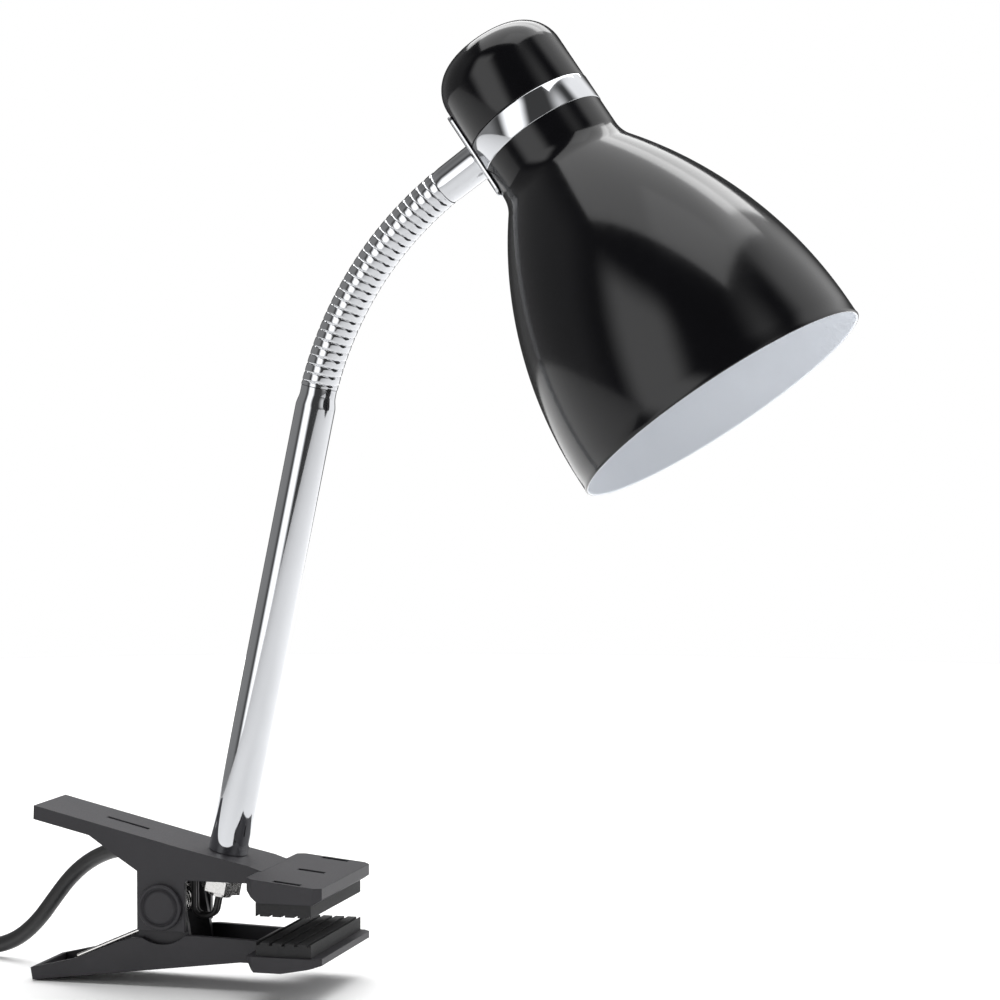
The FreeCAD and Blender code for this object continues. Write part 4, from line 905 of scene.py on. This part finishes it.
        base = [ring(side - 0.0001, 0.0), ring(0.004, 0.0), ring(0.0012, 0.0004), ring(0.0003, 0.0014),
                ring(0.0, 0.003), ring(0.0, self.split - 0.0005), ring(0.0004, self.split - 0.0001),
                ring(0.0016, self.split - 0.0001), ring(0.0016, 0.002), ring(side - 0.0001, 0.002)]
        lower = grid_object("switch_lower_shell", place.point(np.array(base)), [Finishes.SATIN.value],
                            closed=True)
        settle(lower, "clamp", "switch_plastic", "switch_base")
        window = (self.rocker[0] / 2 + 0.0004, self.rocker[1] / 2 + 0.0008)
        cover = [ring(0.0016, self.split + 0.0002), ring(0.0004, self.split + 0.0001),
                 ring(0.0, self.split + 0.0006), ring(0.0002, self.split + 0.002, 0.0005)]
        swell = np.linspace(0, 90, 12)
        cover += [ring(0.0002 + 0.0048 * (1 - math.cos(math.radians(a))),
                       self.split + 0.003 + (high - self.split - 0.003) * math.sin(math.radians(a)),
                       0.0026 * math.sin(math.radians(a))) for a in swell]
        rim = rounded(window[0] + 0.0012, window[1] + 0.0010, 0.0012, angle)
        hole = rounded(window[0], window[1], 0.0006, angle)
        for flat, height in ((rim, high - 0.0004), (rim * [0.985, 0.97], high + 0.0003),
                             (hole * 1.02, high + 0.0003), (hole, high + 0.0001),
                             (hole, self.split + 0.0025)):
            cover.append(np.concatenate([flat, np.full((len(flat), 1), height)], -1))
        settle(grid_object("switch_upper_shell", place.point(np.array(cover)), [Finishes.SATIN.value]),
               "clamp", "switch_plastic", "switch_cover")
        reach, thick = self.rocker[0] / 2 - 0.0008, self.rocker[1] / 2
        x = np.linspace(-reach, reach, 40)
        top = high + 0.0012 + 0.0011 * (x / reach) ** 2
        levels = [(0.0006, np.full_like(x, high - 0.0042)), (0.0, np.full_like(x, high - 0.0036)),
                  (0.0, top - 0.0006), (0.0005, top)]
        rocker = [np.stack([x * (1 - inset / reach), np.full_like(x, side_y * (thick - inset)), level], -1)
                  for side_y, order in ((-1, levels), (1, levels[::-1])) for inset, level in order]
        body = grid_object("rocker_key", place.point(np.array(rocker).transpose(1, 0, 2)),
                           [Finishes.SATIN.value])
        self.cap_ends(body)
        settle(body, "rocker", "switch_plastic", "switch_rocker")
        self.pieces += [bpy.data.objects[name]
                        for name in ("switch_lower_shell", "switch_upper_shell", "rocker_key")]

    @staticmethod
    def cap_ends(piece: bpy.types.Object) -> None:
        """Fill the open ends of a piece with flat faces."""
        work = bmesh.new()
        work.from_mesh(piece.data)
        bmesh.ops.holes_fill(work, edges=[edge for edge in work.edges if edge.is_boundary], sides=0)
        bmesh.ops.recalc_face_normals(work, faces=work.faces)
        work.to_mesh(piece.data)
        work.free()
        piece.data.set_sharp_from_angle(angle=math.radians(35))

    def plug(self) -> None:
        """The flat two-pin plug: lofted waist, shoulders and finger grooves; pins with sleeves."""
        place = WORLD_PLACE.shifted(self.plug_x, self.tail_y, self.plug_axis)
        keys = np.array([(0.0, 4.6, 4.6), (0.6, 5.1, 5.0), (5, 5.4, 5.3), (9, 6.4, 5.7), (13, 9.0, 6.3),
                         (17, 11.6, 6.7), (21, 12.5, 6.9), (30, 12.9, 7.0), (36.2, 12.9, 6.9), (37.4, 12.6, 6.6),
                         (38, 11.8, 5.9)]) / 1000
        stations = np.linspace(0, 0.038, 130)
        wide, high = (np.interp(stations, keys[:, 0], keys[:, n]) for n in (1, 2))
        kernel = np.ones(7) / 7
        wide, high = (np.convolve(np.pad(values, 3, mode="edge"), kernel, "valid") for values in (wide, high))
        grip = np.clip(np.sin((stations - 0.016) / 0.014 * np.pi), 0, 1)
        wide = wide - 0.0005 * grip * (0.5 + 0.5 * np.cos(stations / 0.0022 * 2 * np.pi))
        halves = np.stack([wide, high, 0 * wide], -1)
        body = lofted("plug_shell", stations, halves, 3.2, place, [Finishes.SATIN.value], 72)
        settle(body, "clamp", "switch_plastic", "plug_body")
        self.pieces.append(body)
        tip = self.pin_length
        profile = outline((0.0, -0.004), (self.pin_radius, -0.004), (self.pin_radius, 0.010),
                          (self.pin_radius - 0.0001, 0.0101), (self.pin_radius - 0.0001, tip - 0.0016),
                          arc((self.pin_radius - 0.0014, tip - 0.0013), 0.0013, 0, 90, 8), (0.0, tip))
        metal = (np.arange(len(profile) - 1) >= 3).astype(int)
        for side in (-1, 1):
            origin = place.point(np.array([0.038, side * self.pin_pitch / 2, 0.0]))
            pin = Place(origin, WORLD_PLACE.y, WORLD_PLACE.z, WORLD_PLACE.x)
            piece = revolved(f"plug_pin_{'left' if side > 0 else 'right'}", profile, pin,
                             [Finishes.SATIN.value, Finishes.BRASS.value], 40, metal)
            settle(piece, "clamp", "contact_brass", "plug_pins")
            self.pieces.append(piece)

    def tie(self) -> None:
        """The tie: a soft band round the coil's section, standing off it by half its own thickness."""
        turn = math.radians(20.0)
        out = np.array([math.cos(turn), math.sin(turn), 0.0])
        along = np.array([-math.sin(turn), math.cos(turn), 0.0])
        middle = np.array([*self.coil_centre, 0.0]) + out * self.coil_mean
        middle[2] = self.floor + 0.0076
        angle = np.linspace(0, 2 * np.pi, 80, endpoint=False)
        rings = []
        for grow, shift in ((0.0003, -0.0042), (0.0003, 0.0042), (0.0007, 0.0045), (0.0010, 0.0042),
                            (0.0010, -0.0042), (0.0007, -0.0045)):
            flat = rounded(0.0101 + grow, 0.0067 + grow, 0.0032, angle)
            rings.append(middle + flat[:, :1] * out + flat[:, 1:] * [0.0, 0.0, 1.0] + shift * along)
        piece = grid_object("coil_tie", np.array(rings), [Finishes.SATIN.value], closed=True)
        settle(piece, "clamp", "switch_plastic", "lead_tie")
        self.pieces.append(piece)

    def build(self) -> None:
        lead = self.line()
        settle(lead, "clamp", "lead_jacket", "lead_run", "lead_link", "lead_coil", "lead_tail")
        self.switch()
        self.plug()
        self.tie()
        low = self.level
        for name, near, direction, length in (
                ("switch_relief_near", (self.switch_end, self.switch_y, low), -1, 0.022),
                ("switch_relief_far", (self.switch_end - self.switch_size[0], self.switch_y, low), 1, 0.022),
                ("plug_relief", (self.plug_x, self.tail_y, self.plug_axis), -1, 0.020)):
            relief = self.relief(name, np.array(near), direction, length)
            settle(relief, "clamp", "switch_plastic")
            self.pieces.append(relief)


# ---------------------------------------------------------------- studio


@dataclass(frozen=True)
class Panel:
    """A soft-edged bright or dark patch of the surroundings, in degrees round from the front."""

    left: float
    right: float
    low: float
    high: float
    light: float
    soft: float = 9.0


@dataclass
class Studio:
    """Pale floor, soft surroundings and the camera."""

    floor: float = FLOOR_HEIGHT
    eye: tuple[float, float, float] = (0.3718, -1.0929, 0.2115)
    pitch: float = 2.5
    azimuth: float = 15.1
    lens: float = 108.0
    dim: float = 0.07
    panels: tuple[Panel, ...] = (
        Panel(-58.0, -24.0, -30.0, 34.0, 1.9, 8.0),
        Panel(-150.0, -75.0, -20.0, 40.0, 0.25, 12.0),
        Panel(30.0, 54.0, -4.0, 50.0, 0.9, 13.0),
        Panel(84.0, 150.0, -20.0, 60.0, 1.3, 12.0),
        Panel(-20.0, 84.0, 62.0, 95.0, 0.5, 10.0),
    )

    def stage(self) -> None:
        """A pale round floor."""
        radius = 1.35
        profile = outline((0.0, 0.0), (0.4, 0.0), (0.9, 0.0), (radius, 0.0))
        place = WORLD_PLACE.shifted(z=self.floor - 0.0002)
        pale = Finish("pale_floor", (0.97, 0.97, 0.97), 0.7, relief=0.0)
        floor = revolved("studio_floor", profile, place, [pale], 128)

    def camera(self) -> None:
        """The camera, level with the shade's mouth and looking a little down."""
        data = bpy.data.cameras.new("camera")
        data.lens = self.lens
        data.sensor_width = 36.0
        data.clip_start, data.clip_end = 0.05, 60.0
        camera = bpy.data.objects.new("camera", data)
        camera.location = self.eye
        camera.rotation_euler = (math.radians(90.0 - self.pitch), 0.0, math.radians(self.azimuth))
        bpy.context.scene.collection.objects.link(camera)
        bpy.context.scene.camera = camera

    def lamp(self, name: str, spot: tuple[float, float, float], target: tuple[float, float, float],
             size: tuple[float, float], power: float) -> None:
        """Add one rectangular soft light that faces a target."""
        data = bpy.data.lights.new(name, "AREA")
        data.shape = "RECTANGLE"
        data.size, data.size_y = size
        data.energy = power
        light = bpy.data.objects.new(name, data)
        light.location = spot
        aim = Vector(target) - Vector(spot)
        light.rotation_euler = aim.to_track_quat("-Z", "Y").to_euler()
        bpy.context.scene.collection.objects.link(light)

    def world(self) -> None:
        """Soft surroundings: a dim base plus smooth windows of azimuth and height for each panel.

        The backdrop that the camera sees directly is plain white.
        """
        world = bpy.data.worlds.new("studio")
        world.use_nodes = True
        nodes, links = world.node_tree.nodes, world.node_tree.links
        background = nodes["Background"]
        where = nodes.new("ShaderNodeTexCoord")
        turned = nodes.new("ShaderNodeVectorRotate")
        turned.rotation_type = "Z_AXIS"
        turned.inputs["Angle"].default_value = math.radians(90.0 - self.azimuth)
        links.new(where.outputs["Generated"], turned.inputs["Vector"])
        split = nodes.new("ShaderNodeSeparateXYZ")
        links.new(turned.outputs["Vector"], split.inputs["Vector"])

        def maths(kind: str, first: bpy.types.NodeSocket | float,
                  second: bpy.types.NodeSocket | float = 0.0) -> bpy.types.NodeSocket:
            """One Math node's result."""
            node = nodes.new("ShaderNodeMath")
            node.operation = kind
            for socket, value in zip(node.inputs, (first, second)):
                if isinstance(value, bpy.types.NodeSocket):
                    links.new(value, socket)
                else:
                    socket.default_value = value
            return node.outputs[0]

        def edge(value: bpy.types.NodeSocket, at: float, soft: float) -> bpy.types.NodeSocket:
            """A smooth step from 0 to 1 about an angle in degrees."""
            node = nodes.new("ShaderNodeMapRange")
            node.interpolation_type = "SMOOTHSTEP"
            node.inputs["From Min"].default_value = math.radians(at - soft)
            node.inputs["From Max"].default_value = math.radians(at + soft)
            links.new(value, node.inputs["Value"])
            return node.outputs["Result"]

        around = maths("ARCTAN2", split.outputs["Y"], split.outputs["X"])
        height = maths("ARCSINE", split.outputs["Z"])
        total = self.dim
        for panel in self.panels:
            wide = maths("SUBTRACT", edge(around, panel.left, panel.soft), edge(around, panel.right, panel.soft))
            tall = maths("SUBTRACT", edge(height, panel.low, panel.soft), edge(height, panel.high, panel.soft))
            total = maths("ADD", maths("MULTIPLY", maths("MULTIPLY", wide, tall), panel.light), total)
        path = nodes.new("ShaderNodeLightPath")
        seen = path.outputs["Is Camera Ray"]
        shown = maths("ADD", maths("MULTIPLY", total, maths("SUBTRACT", 1.0, seen)), seen)
        links.new(shown, background.inputs["Strength"])
        background.inputs["Color"].default_value = (1.0, 1.0, 1.0, 1.0)
        bpy.context.scene.world = world

    def build(self) -> None:
        """Build the studio."""
        bpy.context.scene.view_settings.view_transform = "Standard"
        self.stage()
        self.camera()
        self.world()
        self.lamp("top_softbox", (0.0, 0.1, 1.6), (0.0, 0.0, 0.0), (1.8, 1.8), 24.0)
        self.lamp("rear_softbox", (-0.3, 1.3, 1.5), (-0.3, 1.3, 0.0), (2.0, 1.4), 34.0)


def main() -> None:
    """Build the lamp and its studio."""
    logging.basicConfig(level=logging.INFO, format="%(name)s: %(message)s")
    studio = Studio()
    studio.build()
    dress_nodes()
    plate_out = LampHead.throat + LampHead.ring_proud + PLATE_THICK
    frames = LampFrames.from_record(STEM_TILT, STEM_LENGTH, LampHead.collar_length, plate_out, PLATE_MIDDLE)
    MainsLead().build()
    Gooseneck(frames).build()
    Stem(frames).build()
    LampHead(frames).build()
    Clamp().build()


if __name__ == "__main__":
    main()
